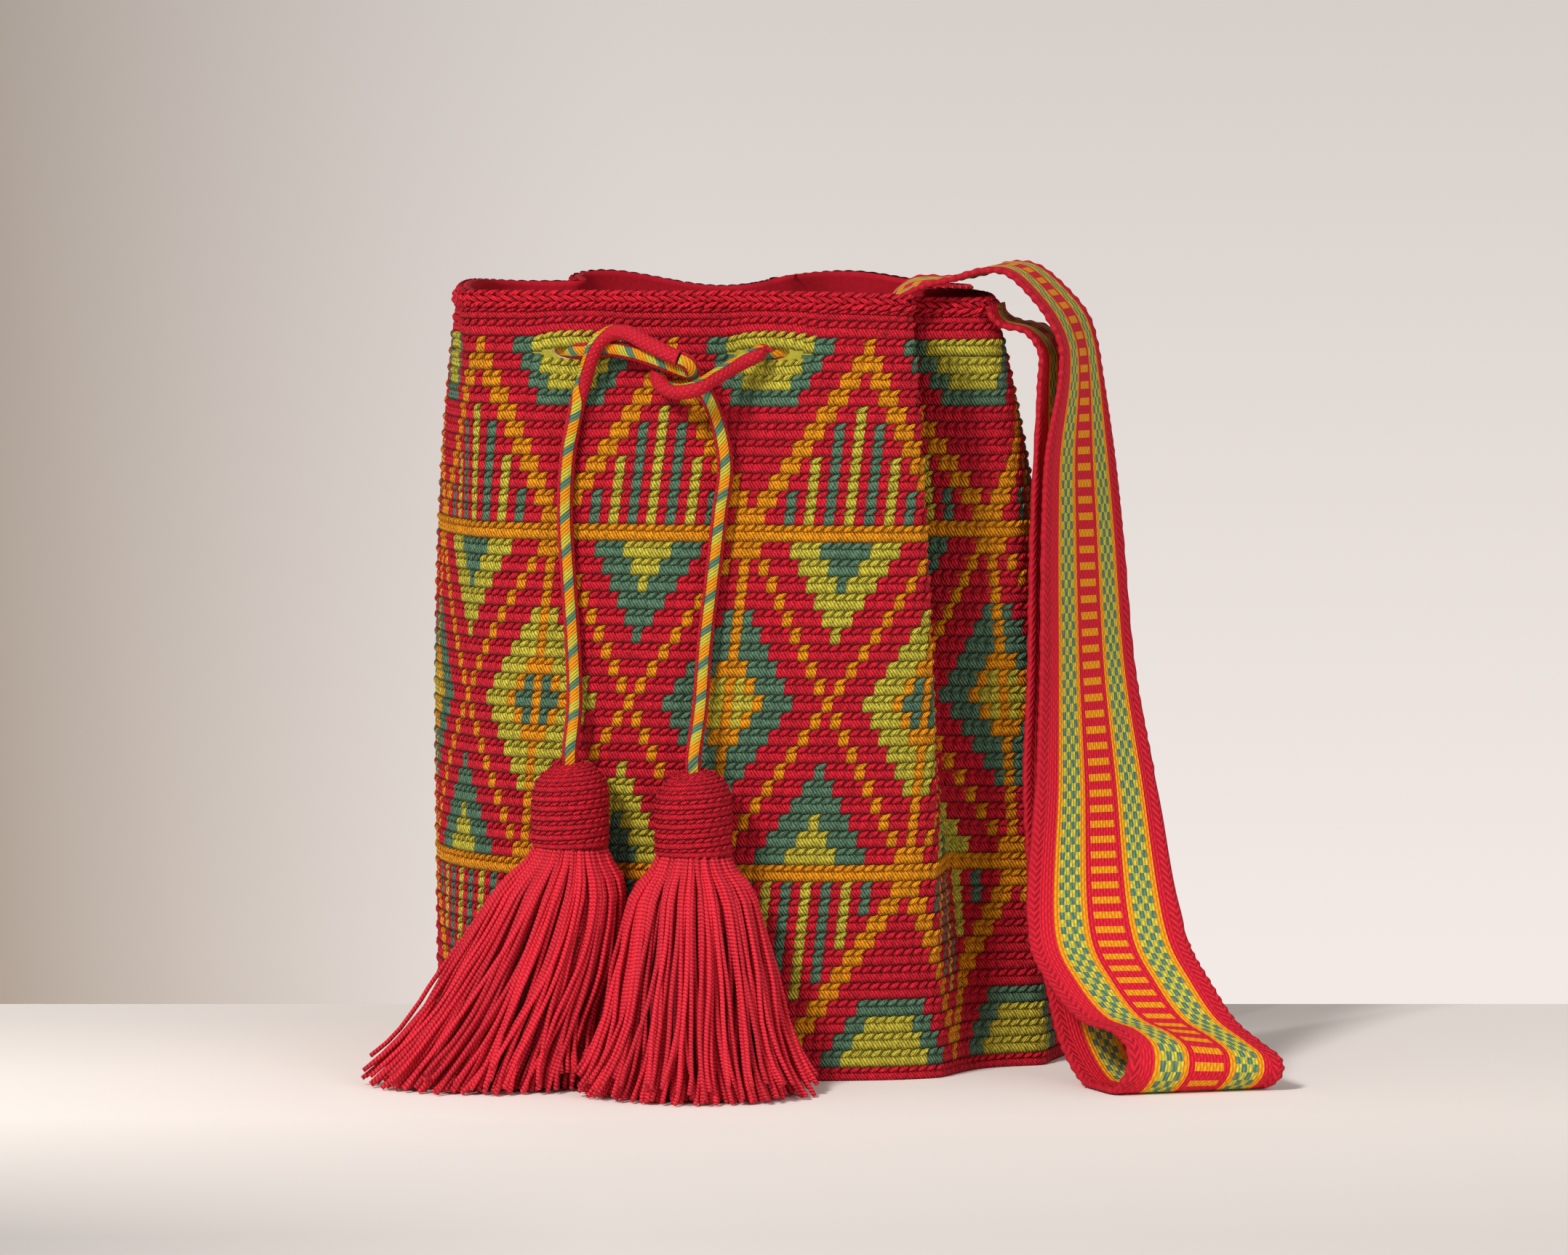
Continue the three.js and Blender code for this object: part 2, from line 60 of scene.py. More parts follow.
HEIGHT = 0.285
BASE_HALF = (0.1185, 0.102)
RIM_HALF = (0.0985, 0.088)
RIM_SHIFT = (-0.011, -0.010)
SQUARENESS = 2.25
DRAW_IN_POWER = 3.2
WALL = 0.004
BASE_THICKNESS = 0.0045

BASE_EDGE = 0.0049
PATTERN_ROWS = 43
RIM_ROUNDS = (0.0062, 0.0043, 0.0042, 0.0020)
STITCHES_ROUND = 200
MOTIF = 20
EYELET_ROW = 0.85
EYELET_HALF = (0.0080, 0.0030)
FIRST_APEX_X = 0.0406

# Folds of the soft wall: angle at the base and at the rim in degrees and its bow between them,
# rise in metres, width before and after the fold's line in degrees, softness, and how fast the rise
# grows with height
FOLDS = (
    ((-55.2, -53.5, -1.8), (0.008, 0.019), (22, 16), (4.9, 3.9), (0.31, 0.12), 1),
    ((-39.2, -39, 0), (-0.0082, -0.0479), (7.4, 4.6), (7.4, 4.6), (1, 1), 0.7),
    ((-28.9, -31.5, 0), (0.0065, 0.0172), (3, 7.1), (3, 7.1), (1, 1), 1),
    ((-92, -87, 0), (0, -0.0065), (7, 6), (7, 6), (1, 1), 1),
    ((-118, -116, 0), (0, -0.005), (7, 6), (7, 6), (1, 1), 1),
    ((-143, -143, 0), (0, 0.0185), (7, 7), (7, 7), (1, 1), 3),
    ((4, 4, 0), (0, -0.0228), (9, 6), (9, 6), (1, 0.6), 2.2),
    ((72, 72, 0), (0, -0.0228), (9, 6), (9, 6), (1, 0.6), 2.2),
    ((141, 141, 0), (0, -0.0228), (9, 6), (9, 6), (1, 0.6), 2.2),
)
# Low and high stretches of the rim: angle, width in degrees, rise
RIM_WAVES = (
    (-30, 26, -0.0032), (60, 16, 0.0045), (92, 12, -0.0015), (122, 16, 0.0048), (165, 18, 0.0022),
)


def lerp(a, b, t):
    return a + (b - a) * t


def wrap_degrees(angle):
    return (angle + 180) % 360 - 180


def fold_angle(angle, share):
    low, high, bow = angle
    return lerp(low, high, share) + bow * 4 * share * (1 - share)


def plan_radius(degrees, z):
    share = np.clip(z / HEIGHT, 0, 1)
    draw = share ** DRAW_IN_POWER
    half_x = lerp(BASE_HALF[0], RIM_HALF[0], draw)
    half_y = lerp(BASE_HALF[1], RIM_HALF[1], draw)
    c = np.abs(np.cos(np.radians(degrees))) / half_x
    s = np.abs(np.sin(np.radians(degrees))) / half_y
    radius = (c ** SQUARENESS + s ** SQUARENESS) ** (-1 / SQUARENESS)
    for angle, rise, before, after, soft, fade in FOLDS:
        turn = wrap_degrees(degrees - fold_angle(angle, share))
        width = np.where(turn < 0, lerp(*before, share), lerp(*after, share))
        softness = lerp(*soft, share)
        fall = np.exp(softness - np.hypot(turn / width, softness))
        radius = radius + lerp(*rise, share ** fade) * fall
    return radius


def wall_slope(degrees, z):
    change = plan_radius(degrees + 1.5, z) - plan_radius(degrees - 1.5, z)
    return change / math.radians(3) / plan_radius(degrees, z)


def rim_scale(degrees, z):
    rise = 0
    for angle, width, height in RIM_WAVES:
        rise = rise + height * np.exp(-((wrap_degrees(degrees - angle) / width) ** 2))
    return 1 + rise / HEIGHT * (z / HEIGHT) ** 3


def wall_point(degrees, z, out, radial=False):
    """Points of the wall, moved out along its own normal, or straight out from the axis."""
    degrees, z, out = np.broadcast_arrays(*(np.asarray(v, float) for v in (degrees, z, out)))
    share = (z / HEIGHT) ** 2
    a = np.radians(degrees)
    slope = wall_slope(degrees, z)
    radius = plan_radius(degrees, z)
    if radial:
        radius, side = radius + out * np.hypot(1, slope), 0
    else:
        reach = out / np.hypot(1, slope)
        radius, side = radius + reach, slope * reach
    x = RIM_SHIFT[0] * share + np.cos(a) * radius + np.sin(a) * side
    y = RIM_SHIFT[1] * share + np.sin(a) * radius - np.cos(a) * side
    return np.stack([x, y, z * rim_scale(degrees, z)], -1)


def row_height():
    return (HEIGHT - BASE_EDGE - sum(RIM_ROUNDS)) / PATTERN_ROWS


def row_z(row):
    """Height of a place counted in rows down from the top of the pattern."""
    return BASE_EDGE + row_height() * (PATTERN_ROWS - np.asarray(row, float))


class Round:
    """One level of the wall, walked in stitches from the pattern's apex on the front."""

    def __init__(self, z):
        self.z = z
        share = z / HEIGHT
        self.crease = fold_angle(FOLDS[0][0], share)
        self.degrees = self.crease + np.linspace(-360, 360, 1441)
        points = wall_point(self.degrees, z, 0, radial=True)
        steps = np.linalg.norm(np.diff(points, axis=0), axis=1)
        self.run = np.concatenate([[0], np.cumsum(steps)])
        self.run -= self.run[720]
        self.girth = self.run[-1]
        self.stitch = self.girth / STITCHES_ROUND
        front = (self.degrees > -150) & (self.degrees < self.crease - 1)
        row = (row_z(0) - z) / row_height()
        target = FIRST_APEX_X - 0.000705 * row
        self.apex = np.interp(target, points[front, 0], self.run[front])

    def angle(self, stitches):
        run = self.apex + np.asarray(stitches, float) * self.stitch
        run = (run + self.girth / 2) % self.girth - self.girth / 2
        return np.interp(run, self.run, self.degrees)


# ---- the pattern, counted in stitches

RED, ORANGE, LIME, TEAL = range(4)


def pattern(stitch, row):
    """Yarn of each stitch. Stitches count from an apex, rows from the top of the pattern."""
    stitch, row = np.broadcast_arrays(stitch, row)
    side = (stitch + MOTIF // 2) // MOTIF
    near = np.abs((stitch + MOTIF // 2) % MOTIF - MOTIF // 2)
    far = MOTIF // 2 - near
    r = np.minimum(row, PATTERN_ROWS - 1 - row)
    lower = row > PATTERN_ROWS // 2
    odd = (side + lower) % 2 == 1
    yarn = np.full(stitch.shape, RED)

    def put(mask, value):
        yarn[mask] = value if np.isscalar(value) else value[mask]

    # stripes inside the chevron
    put((near == 0) & (r >= 4) & (r <= 10), LIME)
    put((near == 2) & (r >= 5) & (r <= 10), TEAL)
    put((near == 4) & (r >= 7) & (r <= 10), LIME)
    put((near == 6) & (r >= 9) & (r <= 10), TEAL)
    # blunt block round the eyelet
    put((r <= 3) & (far <= 6 - r), LIME)
    put((r <= 3) & (far <= 6 - r) & ((far >= 5 - r) | (r == 3)), TEAL)
    # hanging triangle under the band
    edge = np.where(odd, TEAL, LIME)
    core = np.where(odd, LIME, TEAL)
    put((r >= 12) & (r <= 17) & (near <= 17 - r), edge)
    put((r >= 12) & (near <= 14 - r), core)
    # diamond between two apexes
    gap = (stitch // MOTIF) % 2 == 1
    outer = np.where(gap, TEAL, LIME)
    inner = np.where(gap, LIME, TEAL)
    put((r >= 16) & (far <= r - 15), outer)
    put((r >= 19) & (far <= r - 19 + 1), inner)
    put((r == 19) & (far <= 1), ORANGE)
    put((r >= 20) & (far == r - 18), ORANGE)
    put((r >= 12) & (far == 0), ORANGE)
    # chevron, bands and dotted cross
    put((r == 0) & (near == 0), ORANGE)
    put((r == 1) & (near <= 1), ORANGE)
    put((r >= 2) & (r <= 9) & ((near == r) | (near == r - 1)), ORANGE)
    put(((r == 10) | (r == 12)) & (near >= 9), ORANGE)
    put(r == 11, ORANGE)
    put((r >= 13) & (near == 21 - r), ORANGE)
    return yarn


# ---- sizes and colours to set


def srgb(r, g, b):
    """A colour given as it looks on a screen, 0 to 255, as Blender's linear values."""
    out = []
    for c in (r, g, b):
        c = c / 255
        out.append(c / 12.92 if c <= 0.04045 else ((c + 0.055) / 1.055) ** 2.4)
    return tuple(out)


def colour_property(name, description, value):
    return bpy.props.FloatVectorProperty(
        name=name, description=description, default=value, size=3, min=0, max=1, subtype="COLOR"
    )


class MochilaYarns(bpy.types.PropertyGroup):
    """Colours of the yarns and of the room."""

    red: colour_property("Red", "Ground yarn of the bag, tassels and strap", srgb(206, 24, 46))
    orange: colour_property("Orange", "Yarn of the chevrons and bands", srgb(228, 146, 14))
    lime: colour_property("Lime", "Light yarn of the blocks and stripes", srgb(196, 184, 60))
    teal: colour_property("Teal", "Dark yarn of the blocks and stripes", srgb(88, 124, 98))
    floor: colour_property("Floor", "Pale floor", srgb(248, 243, 239))
    # The backdrop's two colours are painted light and shade: pale on its lit side, dusky on its
    # shaded side
    backdrop: colour_property("Backdrop", "Backdrop on its bright side", srgb(243, 234, 229))
    backdrop_dusk: colour_property("Dusk", "Backdrop on its dark side", srgb(179, 164, 151))


def size_property(name, description, value, low, high):
    """A length whose values are given in millimetres."""
    return bpy.props.FloatProperty(
        name=name, description=description, default=value * MM, min=low * MM, max=high * MM,
        unit="LENGTH",
    )


class MochilaSizes(bpy.types.PropertyGroup):
    """Sizes of the stitches, cord and strands."""

    stitch_height: size_property(
        "Stitch height", "How far a stitch stands out of the wall", 0.95, 0.2, 3
    )
    cord: size_property("Cord", "Diameter of the drawstring", 5.8, 2, 10)
    strand: size_property("Strand", "Diameter of one strand of a tassel", 1.75, 0.8, 4)
    strands: bpy.props.IntProperty(
        name="Strands", description="Strands in each tassel", default=380, min=40, max=400,
    )
    band: size_property("Band thickness", "Thickness of the woven strap", 2, 1, 4)


def yarn_colours():
    yarns = bpy.context.scene.mochila_yarns
    return np.array([tuple(yarns.red), tuple(yarns.orange), tuple(yarns.lime), tuple(yarns.teal)])


# ---- shader expressions


def maths(operation, turned=False):
    """A method of two values that adds the Math node of an operation."""

    def method(self, other):
        return self.math(operation, *((other, self) if turned else (self, other)))

    return method


class Wire:
    """A node socket that takes part in Python expressions; each one adds its Math node."""

    def __init__(self, tree, socket=None):
        self.tree, self.socket = tree, socket

    def node(self, kind, settings=None, **sockets):
        """Adds any node: its settings first, then values or links for its sockets.

        Sockets go by name, with _ for a space, or by number as i0, i1 and so on.
        """
        node = self.tree.nodes.new(kind)
        for key, value in (settings or {}).items():
            setattr(node, key, value)
        for key, value in sockets.items():
            socket = node.inputs[int(key[1:]) if key[1:].isdigit() else key.replace("_", " ")]
            if isinstance(value, Wire):
                self.tree.links.new(value.socket, socket)
            else:
                socket.default_value = value
        return node

    def add(self, kind, output, settings=None, **sockets):
        """Adds any node, as above, and gives one of its outputs."""
        return Wire(self.tree, self.node(kind, settings, **sockets).outputs[output])

    def math(self, operation, *values):
        sockets = {f"i{number}": value for number, value in enumerate(values)}
        return self.add("ShaderNodeMath", 0, {"operation": operation}, **sockets)

    __add__ = __radd__ = maths("ADD")
    __mul__ = __rmul__ = maths("MULTIPLY")
    __sub__ = maths("SUBTRACT")
    __rsub__ = maths("SUBTRACT", turned=True)
    __truediv__ = maths("DIVIDE")
    __mod__ = maths("FLOORED_MODULO")
    __pow__ = maths("POWER")
    __gt__ = maths("GREATER_THAN")
    __lt__ = maths("LESS_THAN")

    def abs(self):
        return self.math("ABSOLUTE", self)

    def clamp(self):
        return self.math("MAXIMUM", self.math("MINIMUM", self, 1.0), 0.0)

    def wave(self, period):
        """0 to 1 and back once in a period."""
        return self.math("SINE", self * (2 * math.pi / period)) * 0.5 + 0.5

    def within(self, low, high):
        return (self > low) * (self < high)


class Finish:
    """A material being made: a Principled surface with the nodes that feed it."""

    def __init__(self, name, roughness, specular=0.5):
        self.material = bpy.data.materials.new(name)
        self.material.use_nodes = True
        self.tree = self.material.node_tree
        self.surface = self.tree.nodes["Principled BSDF"]
        self.surface.inputs["Roughness"].default_value = roughness
        self.surface.inputs["Specular IOR Level"].default_value = specular
        self.wire = Wire(self.tree)

    def attribute(self, name, output="Vector"):
        return self.wire.add("ShaderNodeAttribute", output, {"attribute_name": name})

    def place(self):
        return self.wire.add("ShaderNodeTexCoord", "Object")

    def split(self, vector):
        node = self.wire.node("ShaderNodeSeparateXYZ", i0=vector)
        return [Wire(self.tree, output) for output in node.outputs]

    def noise(self, scale):
        return self.wire.add("ShaderNodeTexNoise", "Fac", Vector=self.place(), Scale=scale)

    def mix(self, factor, a, b):
        a, b = (value if isinstance(value, Wire) else (*value, 1) for value in (a, b))
        return self.wire.add("ShaderNodeMix", 2, {"data_type": "RGBA"}, i0=factor, i6=a, i7=b)

    def shade(self, colour, light):
        """The colour made lighter or darker by a number, 1 leaving it as it is."""
        settings = {"operation": "SCALE"}
        return self.wire.add("ShaderNodeVectorMath", 0, settings, i0=colour, Scale=light)

    def done(self, colour, light=None, height=None, distance=0.0, strength=1.0):
        """Feeds the surface its colour, shaded by light, and a bump of a height."""
        if light is not None:
            colour = self.shade(colour, light)
        self.tree.links.new(colour.socket, self.surface.inputs["Base Color"])
        if height is not None:
            sockets = {"Height": height, "Distance": distance, "Strength": strength}
            bump = self.wire.add("ShaderNodeBump", 0, **sockets)
            self.tree.links.new(bump.socket, self.surface.inputs["Normal"])
        return self.material


def stitch_finish():
    """Crocheted cotton: the plies of the yarn show as fine slanted strokes of painted light and
    shade in each stitch.

    u runs along the row and v up the stitch; ridge is 1 on the chain loop and 0 below it.
    """
    finish = Finish("crochet_yarn", 0.8, 0.25)
    u, v, ridge = finish.split(finish.attribute("grain"))
    fray = finish.noise(800.0)
    body = (u + v * 0.75 + fray * 0.12).wave(0.33)
    chain = (u * 0.8 - v * 0.7 + fray * 0.1).wave(0.3)
    ply = body + (chain - body) * ridge
    # painted shade: darker at the foot of each stitch and on its sides, in the gaps between
    # stitches
    foot = (v * 2.4).clamp()
    side = ((u - v * 0.25 + 0.12) % 1.0 * 3.2).clamp()
    depth = foot * (side * 0.4 + 0.6) * 0.72 + 0.26
    # painted highlight along the middle of each chain loop, painted shade at its ends
    loop_highlight = ((u * 2.6 + 0.25) * (1.25 - u)).clamp()
    light = (ply * 0.9 + fray * 1.7 - 0.34) * (depth + (loop_highlight * 1.05 + 0.08 - depth) * ridge)
    return finish.done(finish.attribute("yarn", "Color"), light, ply, 0.6 * MM, 0.9)


def plain_crochet_finish():
    """The wall behind the stitches, its inside and the base, as flatter crochet with painted shade
    between its rows.
    """
    finish = Finish("crochet_ground", 0.88, 0.2)
    u, v, _ = finish.split(finish.attribute("grain"))
    fray = finish.noise(700.0)
    rows = v.wave(1.0)
    strokes = (u * 1.0 + v * 0.8).wave(0.3)
    # painted shade between the rows and painted light and shade of the plies
    light = rows * 0.45 + strokes * 0.3 + fray * 0.5 + 0.3
    yarn = finish.attribute("yarn", "Color")
    return finish.done(yarn, light, rows * 0.8 + strokes * 0.2, 0.8 * MM)


# ---- meshes


def new_object(name, mesh):
    obj = bpy.data.objects.new(name, mesh)
    bpy.context.scene.collection.objects.link(obj)
    return obj


def mesh_from(name, points, faces, uv=None, material=None):
    """A smooth mesh. uv goes to the corners of the first faces, as the map run."""
    mesh = bpy.data.meshes.new(name)
    mesh.from_pydata([tuple(p) for p in points], [], [tuple(int(i) for i in f) for f in faces])
    if uv is not None:
        places = np.zeros((len(mesh.loops), 2))
        places[:len(uv)] = uv
        mesh.uv_layers.new(name="run").data.foreach_set("uv", places.ravel())
    if material:
        mesh.materials.append(material)
    mesh.polygons.foreach_set("use_smooth", [True] * len(mesh.polygons))
    mesh.update()
    return mesh


def put_attribute(mesh, name, kind, domain, values):
    attribute = mesh.attributes.new(name, kind, domain)
    values = np.asarray(values, float)
    if kind == "FLOAT_COLOR":
        values = np.concatenate([values, np.ones((len(values), 1))], 1)
        attribute.data.foreach_set("color", values.ravel())
    else:
        attribute.data.foreach_set("vector", values.ravel())


def grid_faces(rows, columns, closed=False, start=0):
    """Quads of a grid of points, rows by columns, turned so that up x along points inwards."""
    across = np.arange(columns if closed else columns - 1)
    i, j = np.meshgrid(np.arange(rows - 1), across, indexing="ij")
    a = start + i * columns + j
    b = start + i * columns + (j + 1) % columns
    return np.stack([a, b, b + columns, a + columns], -1).reshape(-1, 4)


def loft(name, loops, material, down=False):
    """A closed object through rings with the same number of points, the first one lowest."""
    rows, columns = len(loops), len(loops[0])
    last = (rows - 1) * columns
    faces = [tuple(face) for face in grid_faces(rows, columns, closed=True)]
    faces += [tuple(range(columns))[::-1], tuple(range(last, last + columns))]
    if down:
        faces = [face[::-1] for face in faces]
    return new_object(name, mesh_from(name, np.concatenate(loops), faces, material=material))


def ride(obj, slot, *nodes):
    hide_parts(*nodes)
    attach(obj, "root")


def smooth_route(points, per_step):
    """A centripetal Catmull-Rom curve through the points, with per_step pieces between two.

    Numbers after X, Y and Z are carried along.
    """
    p = np.asarray(points, float)
    p = np.concatenate([[2 * p[0] - p[1]], p, [2 * p[-1] - p[-2]]])
    out = []
    for i in range(1, len(p) - 2):
        quad = p[i - 1:i + 3]
        gaps = np.maximum(np.linalg.norm(np.diff(quad[:, :3], axis=0), axis=1) ** 0.5, 1e-4)
        t0, t1, t2, t3 = 0, gaps[0], gaps[0] + gaps[1], gaps.sum()
        t = np.linspace(t1, t2, per_step + 1)[:-1, None]
        a1 = (t1 - t) / (t1 - t0) * quad[0] + (t - t0) / (t1 - t0) * quad[1]
        a2 = (t2 - t) / (t2 - t1) * quad[1] + (t - t1) / (t2 - t1) * quad[2]
        a3 = (t3 - t) / (t3 - t2) * quad[2] + (t - t2) / (t3 - t2) * quad[3]
        b1 = (t2 - t) / (t2 - t0) * a1 + (t - t0) / (t2 - t0) * a2
        b2 = (t3 - t) / (t3 - t1) * a2 + (t - t1) / (t3 - t1) * a3
        out.append((t2 - t) / (t2 - t1) * b1 + (t - t1) / (t2 - t1) * b2)
    return np.concatenate(out + [p[-2:-1]])


def unit(v):
    return v / np.maximum(np.linalg.norm(v, axis=-1, keepdims=True), 1e-12)


def tube(route, radius, sides, facing=None, strand=0):
    """Points, faces, (round, along) of each corner and length of a tube that doesn't twist.

    facing gives the way that its first side faces at each point, and strand is added to round.
    """
    run = np.concatenate([[0], np.cumsum(np.linalg.norm(np.diff(route, axis=0), axis=1))])
    forward = unit(np.gradient(route, axis=0))
    if facing is None:
        start = [0.0, -1.0, 0.0] if abs(forward[0, 1]) < 0.9 else [1.0, 0.0, 0.0]
        facing = np.tile(start, (len(route), 1))
    side = unit(facing - forward * (facing * forward).sum(1, keepdims=True))
    up = np.cross(forward, side)
    a = 2 * math.pi * np.linspace(0, 1, sides + 1)[None, :sides, None]
    points = route[:, None] + (np.cos(a) * side[:, None] + np.sin(a) * up[:, None]) * radius
    corners = []
    for k in (3, 2, 1, 0):
        i = np.repeat(np.arange(len(route) - 1), sides) + (k >= 2)
        j = np.tile(np.arange(sides), len(route) - 1) + (k in (1, 2))
        corners.append(np.stack([j / sides + strand, run[i]], -1))
    faces = grid_faces(len(route), sides, closed=True)[:, ::-1]
    return points.reshape(-1, 3), faces, np.stack(corners, 1).reshape(-1, 2), run[-1]


def tube_mesh(name, tubes, sides, material):
    """One mesh of many tubes, with (round, along) as a UV map, and closed ends."""
    faces, caps, count = [], [], 0
    for points, quads, _, _ in tubes:
        last = len(points) - sides
        faces += list(quads + count)
        caps += [count + np.arange(sides), count + last + np.arange(sides)[::-1]]
        count += len(points)
    points, _, places, _ = zip(*tubes)
    return mesh_from(name, np.concatenate(points), faces + caps, np.concatenate(places), material)


# ---- stitches by Geometry Nodes


def stitch_template(body=True, lean=1):
    """One stitch, a unit wide and a unit tall: the slanted chain loop on top of a soft block.

    X runs along the row, Z up and -Y out of the wall. The attribute grain holds the place in the
    stitch, and 1 on the chain loop. The loop of a lean of -1 slants the other way.
    """
    points, faces, grain = [], [], []
    lengths, rounds = 6, 5
    for i in range(lengths):
        t = i / (lengths - 1)
        thick = (1 - abs(2 * t - 1) ** 2.6) * 0.9 + 0.1
        for j in range(rounds):
            a = math.pi * (j / (rounds - 1) * 1.24 - 0.12)
            x = lerp(-0.45, 0.95, t) * lean
            y = 0.05 - 0.5 * math.sin(math.pi * t) - math.sin(a) * 0.9 * thick
            points.append((x, y, lerp(0.64, 0.99, t) - math.cos(a) * 0.15 * thick))
            grain.append((t * 1.25, j / (rounds - 1), 1))
    faces += list(grid_faces(lengths, rounds)[:, ::-lean])
    if body:
        start = len(points)
        wide, tall = 4, 5
        for i in range(tall):
            v = i / (tall - 1)
            for j in range(wide):
                u = j / (wide - 1)
                bulge = (1 - abs(2 * v - 1) ** 3) * (1 - 0.45 * abs(2 * u - 1) ** 3)
                x = lerp(-0.54, 0.54, u) + 0.1 * v
                points.append((x, 0.35 - 1.1 * bulge, lerp(-0.04, 0.64, v)))
                grain.append((u, v, 0))
        faces += list(grid_faces(tall, wide, start=start))
    mesh = mesh_from("stitch", points, faces)
    put_attribute(mesh, "grain", "FLOAT_VECTOR", "POINT", grain)
    return new_object("stitch", mesh)


def placing_tree():
    """Geometry nodes that put one stitch on each point, turned and sized by its attributes.

    Gives the tree and the identifiers of its inputs, by name.
    """
    tree = bpy.data.node_groups.new("place_stitches", "GeometryNodeTree")
    tree.is_modifier = True
    inputs = {
        name: tree.interface.new_socket(name=name, in_out="INPUT", socket_type=f"NodeSocket{kind}")
        for name, kind in (
            ("Geometry", "Geometry"), ("Stitch", "Object"), ("Stitch height", "Float"),
            ("Yarn", "Material"),
        )
    }
    tree.interface.new_socket(name="Geometry", in_out="OUTPUT", socket_type="NodeSocketGeometry")
    wire = Wire(tree)
    group = wire.node("NodeGroupInput")
    given = {name: Wire(tree, group.outputs[name]) for name in inputs}
    turn, size = (
        wire.add("GeometryNodeInputNamedAttribute", 0, {"data_type": "FLOAT_VECTOR"}, Name=name)
        for name in ("turn", "size")
    )
    depth = wire.add("ShaderNodeCombineXYZ", 0, X=1, Y=given["Stitch height"], Z=1)
    scale = wire.add("ShaderNodeVectorMath", 0, {"operation": "MULTIPLY"}, i0=size, i1=depth)
    shape = wire.add("GeometryNodeObjectInfo", "Geometry", Object=given["Stitch"])
    points = wire.add("GeometryNodeMeshToPoints", 0, Mesh=given["Geometry"])
    placed = wire.add(
        "GeometryNodeInstanceOnPoints", 0, Points=points, Instance=shape, Rotation=turn, Scale=scale
    )
    real = wire.add("GeometryNodeRealizeInstances", 0, Geometry=placed)
    dressed = wire.add("GeometryNodeSetMaterial", 0, Geometry=real, Material=given["Yarn"])
    wire.node("NodeGroupOutput", Geometry=dressed)
    return tree, {name: socket.identifier for name, socket in inputs.items()}


def euler_from(along, inward, up):
    """Turns, as Euler angles, that carry X, Y and Z to three given directions."""
    x = np.arctan2(inward[:, 2], up[:, 2])
    y = np.arctan2(-along[:, 2], np.hypot(along[:, 0], along[:, 1]))
    z = np.arctan2(along[:, 1], along[:, 0])
    return np.stack([x, y, z], -1)


def bake(obj):
    """Applies all of an object's modifiers, keeping its attributes."""
    graph = bpy.context.evaluated_depsgraph_get()
    made = bpy.data.meshes.new_from_object(
        obj.evaluated_get(graph), preserve_all_data_layers=True, depsgraph=graph
    )
    obj.modifiers.clear()
    obj.data = made


def place_stitches(name, template, points, along, up, size, colours, material):
    """One mesh of stitches at the points. size is (width, depth share, height) of each."""
    along = unit(along)
    inward = unit(np.cross(up, along))
    up = np.cross(along, inward)
    seeds = mesh_from(name, points, [])
    put_attribute(seeds, "turn", "FLOAT_VECTOR", "POINT", euler_from(along, inward, up))
    put_attribute(seeds, "size", "FLOAT_VECTOR", "POINT", size)
    put_attribute(seeds, "yarn", "FLOAT_COLOR", "POINT", np.clip(colours, 0, 1))
    obj = new_object(name, seeds)
    tree, inputs = placing_tree()
    modifier = obj.modifiers.new("place stitches", "NODES")
    modifier.node_group = tree
    modifier[inputs["Stitch"]] = template
    modifier[inputs["Stitch height"]] = bpy.context.scene.mochila_sizes.stitch_height
    modifier[inputs["Yarn"]] = material
    bake(obj)
    obj.data.name = name
    obj.data.polygons.foreach_set("use_smooth", [True] * len(obj.data.polygons))
    return obj


# ---- the bag's wall

# Stitches from the middle of an eyelet to where the rows round it close again
EYELET_REACH = 4.2


def eyelet_opening(stitch):
    """How far open the eyelet nearest to a stitch is: those without the cord have closed up."""
    number = ((np.asarray(stitch) + 2 * MOTIF) // MOTIF) % (STITCHES_ROUND // MOTIF)
    return np.where(np.isin(number, (0, 1, *THREADED)), 1.0, 0.25)


def eyelet_lift(stitch, row):
    """How far, in rows, a place moves to make room for the nearest eyelet: up is negative."""
    far = MOTIF // 2 - np.abs((stitch + MOTIF // 2) % MOTIF - MOTIF // 2)
    reach = np.sqrt(np.maximum(0, 1 - (far / EYELET_REACH) ** 2)) * EYELET_HALF[1] / row_height()
    open_here = reach * eyelet_opening(stitch)
    above = np.exp(-np.maximum(0, EYELET_ROW - row) / 1.6)
    below = np.exp(-np.maximum(0, row - EYELET_ROW) / 1.6)
    return np.where(row < EYELET_ROW, -open_here * above, open_here * below)


def wall_stitches(rng):
    """Places, directions, sizes, colours and angles of all the stitches of the wall."""
    out = []
    palette = yarn_colours()
    columns = np.arange(-STITCHES_ROUND // 2, STITCHES_ROUND // 2)
    n = len(columns)
    rounds = [(row, row + 0.5, row_height()) for row in range(PATTERN_ROWS)]
    top = 0.0
    for height in RIM_ROUNDS[:2]:
        top -= height / row_height()
        rounds.append((-1, top + 0.5 * height / row_height(), height))
    rounds.append((-1, PATTERN_ROWS + 0.5 * BASE_EDGE / row_height(), BASE_EDGE))
    for row, middle, height in rounds:
        level = Round(float(np.clip(row_z(middle), 0, HEIGHT)))
        z_foot = row_z(middle + eyelet_lift(columns, middle + 0.0 * columns)) - height / 2
        degrees = level.angle(columns)
        here = wall_point(degrees, z_foot, 0.0)
        ahead = wall_point(level.angle(columns + 0.25), z_foot, 0.0)
        behind = wall_point(level.angle(columns - 0.25), z_foot, 0.0)
        above = wall_point(degrees, np.minimum(z_foot + height, HEIGHT), 0.0)
        stands = 1 + rng.uniform(-0.12, 0.12, n)
        size = np.stack([np.full(n, level.stitch), stands, np.full(n, height)], -1)
        yarn = pattern(columns, np.full(n, row)) if row >= 0 else np.full(n, RED)
        colour = palette[yarn] * (1 + rng.uniform(-0.07, 0.07, (n, 1)))
        out.append((here, ahead - behind, above - here, size, colour, wrap_degrees(degrees)))
    return [np.concatenate(part) for part in zip(*out)]
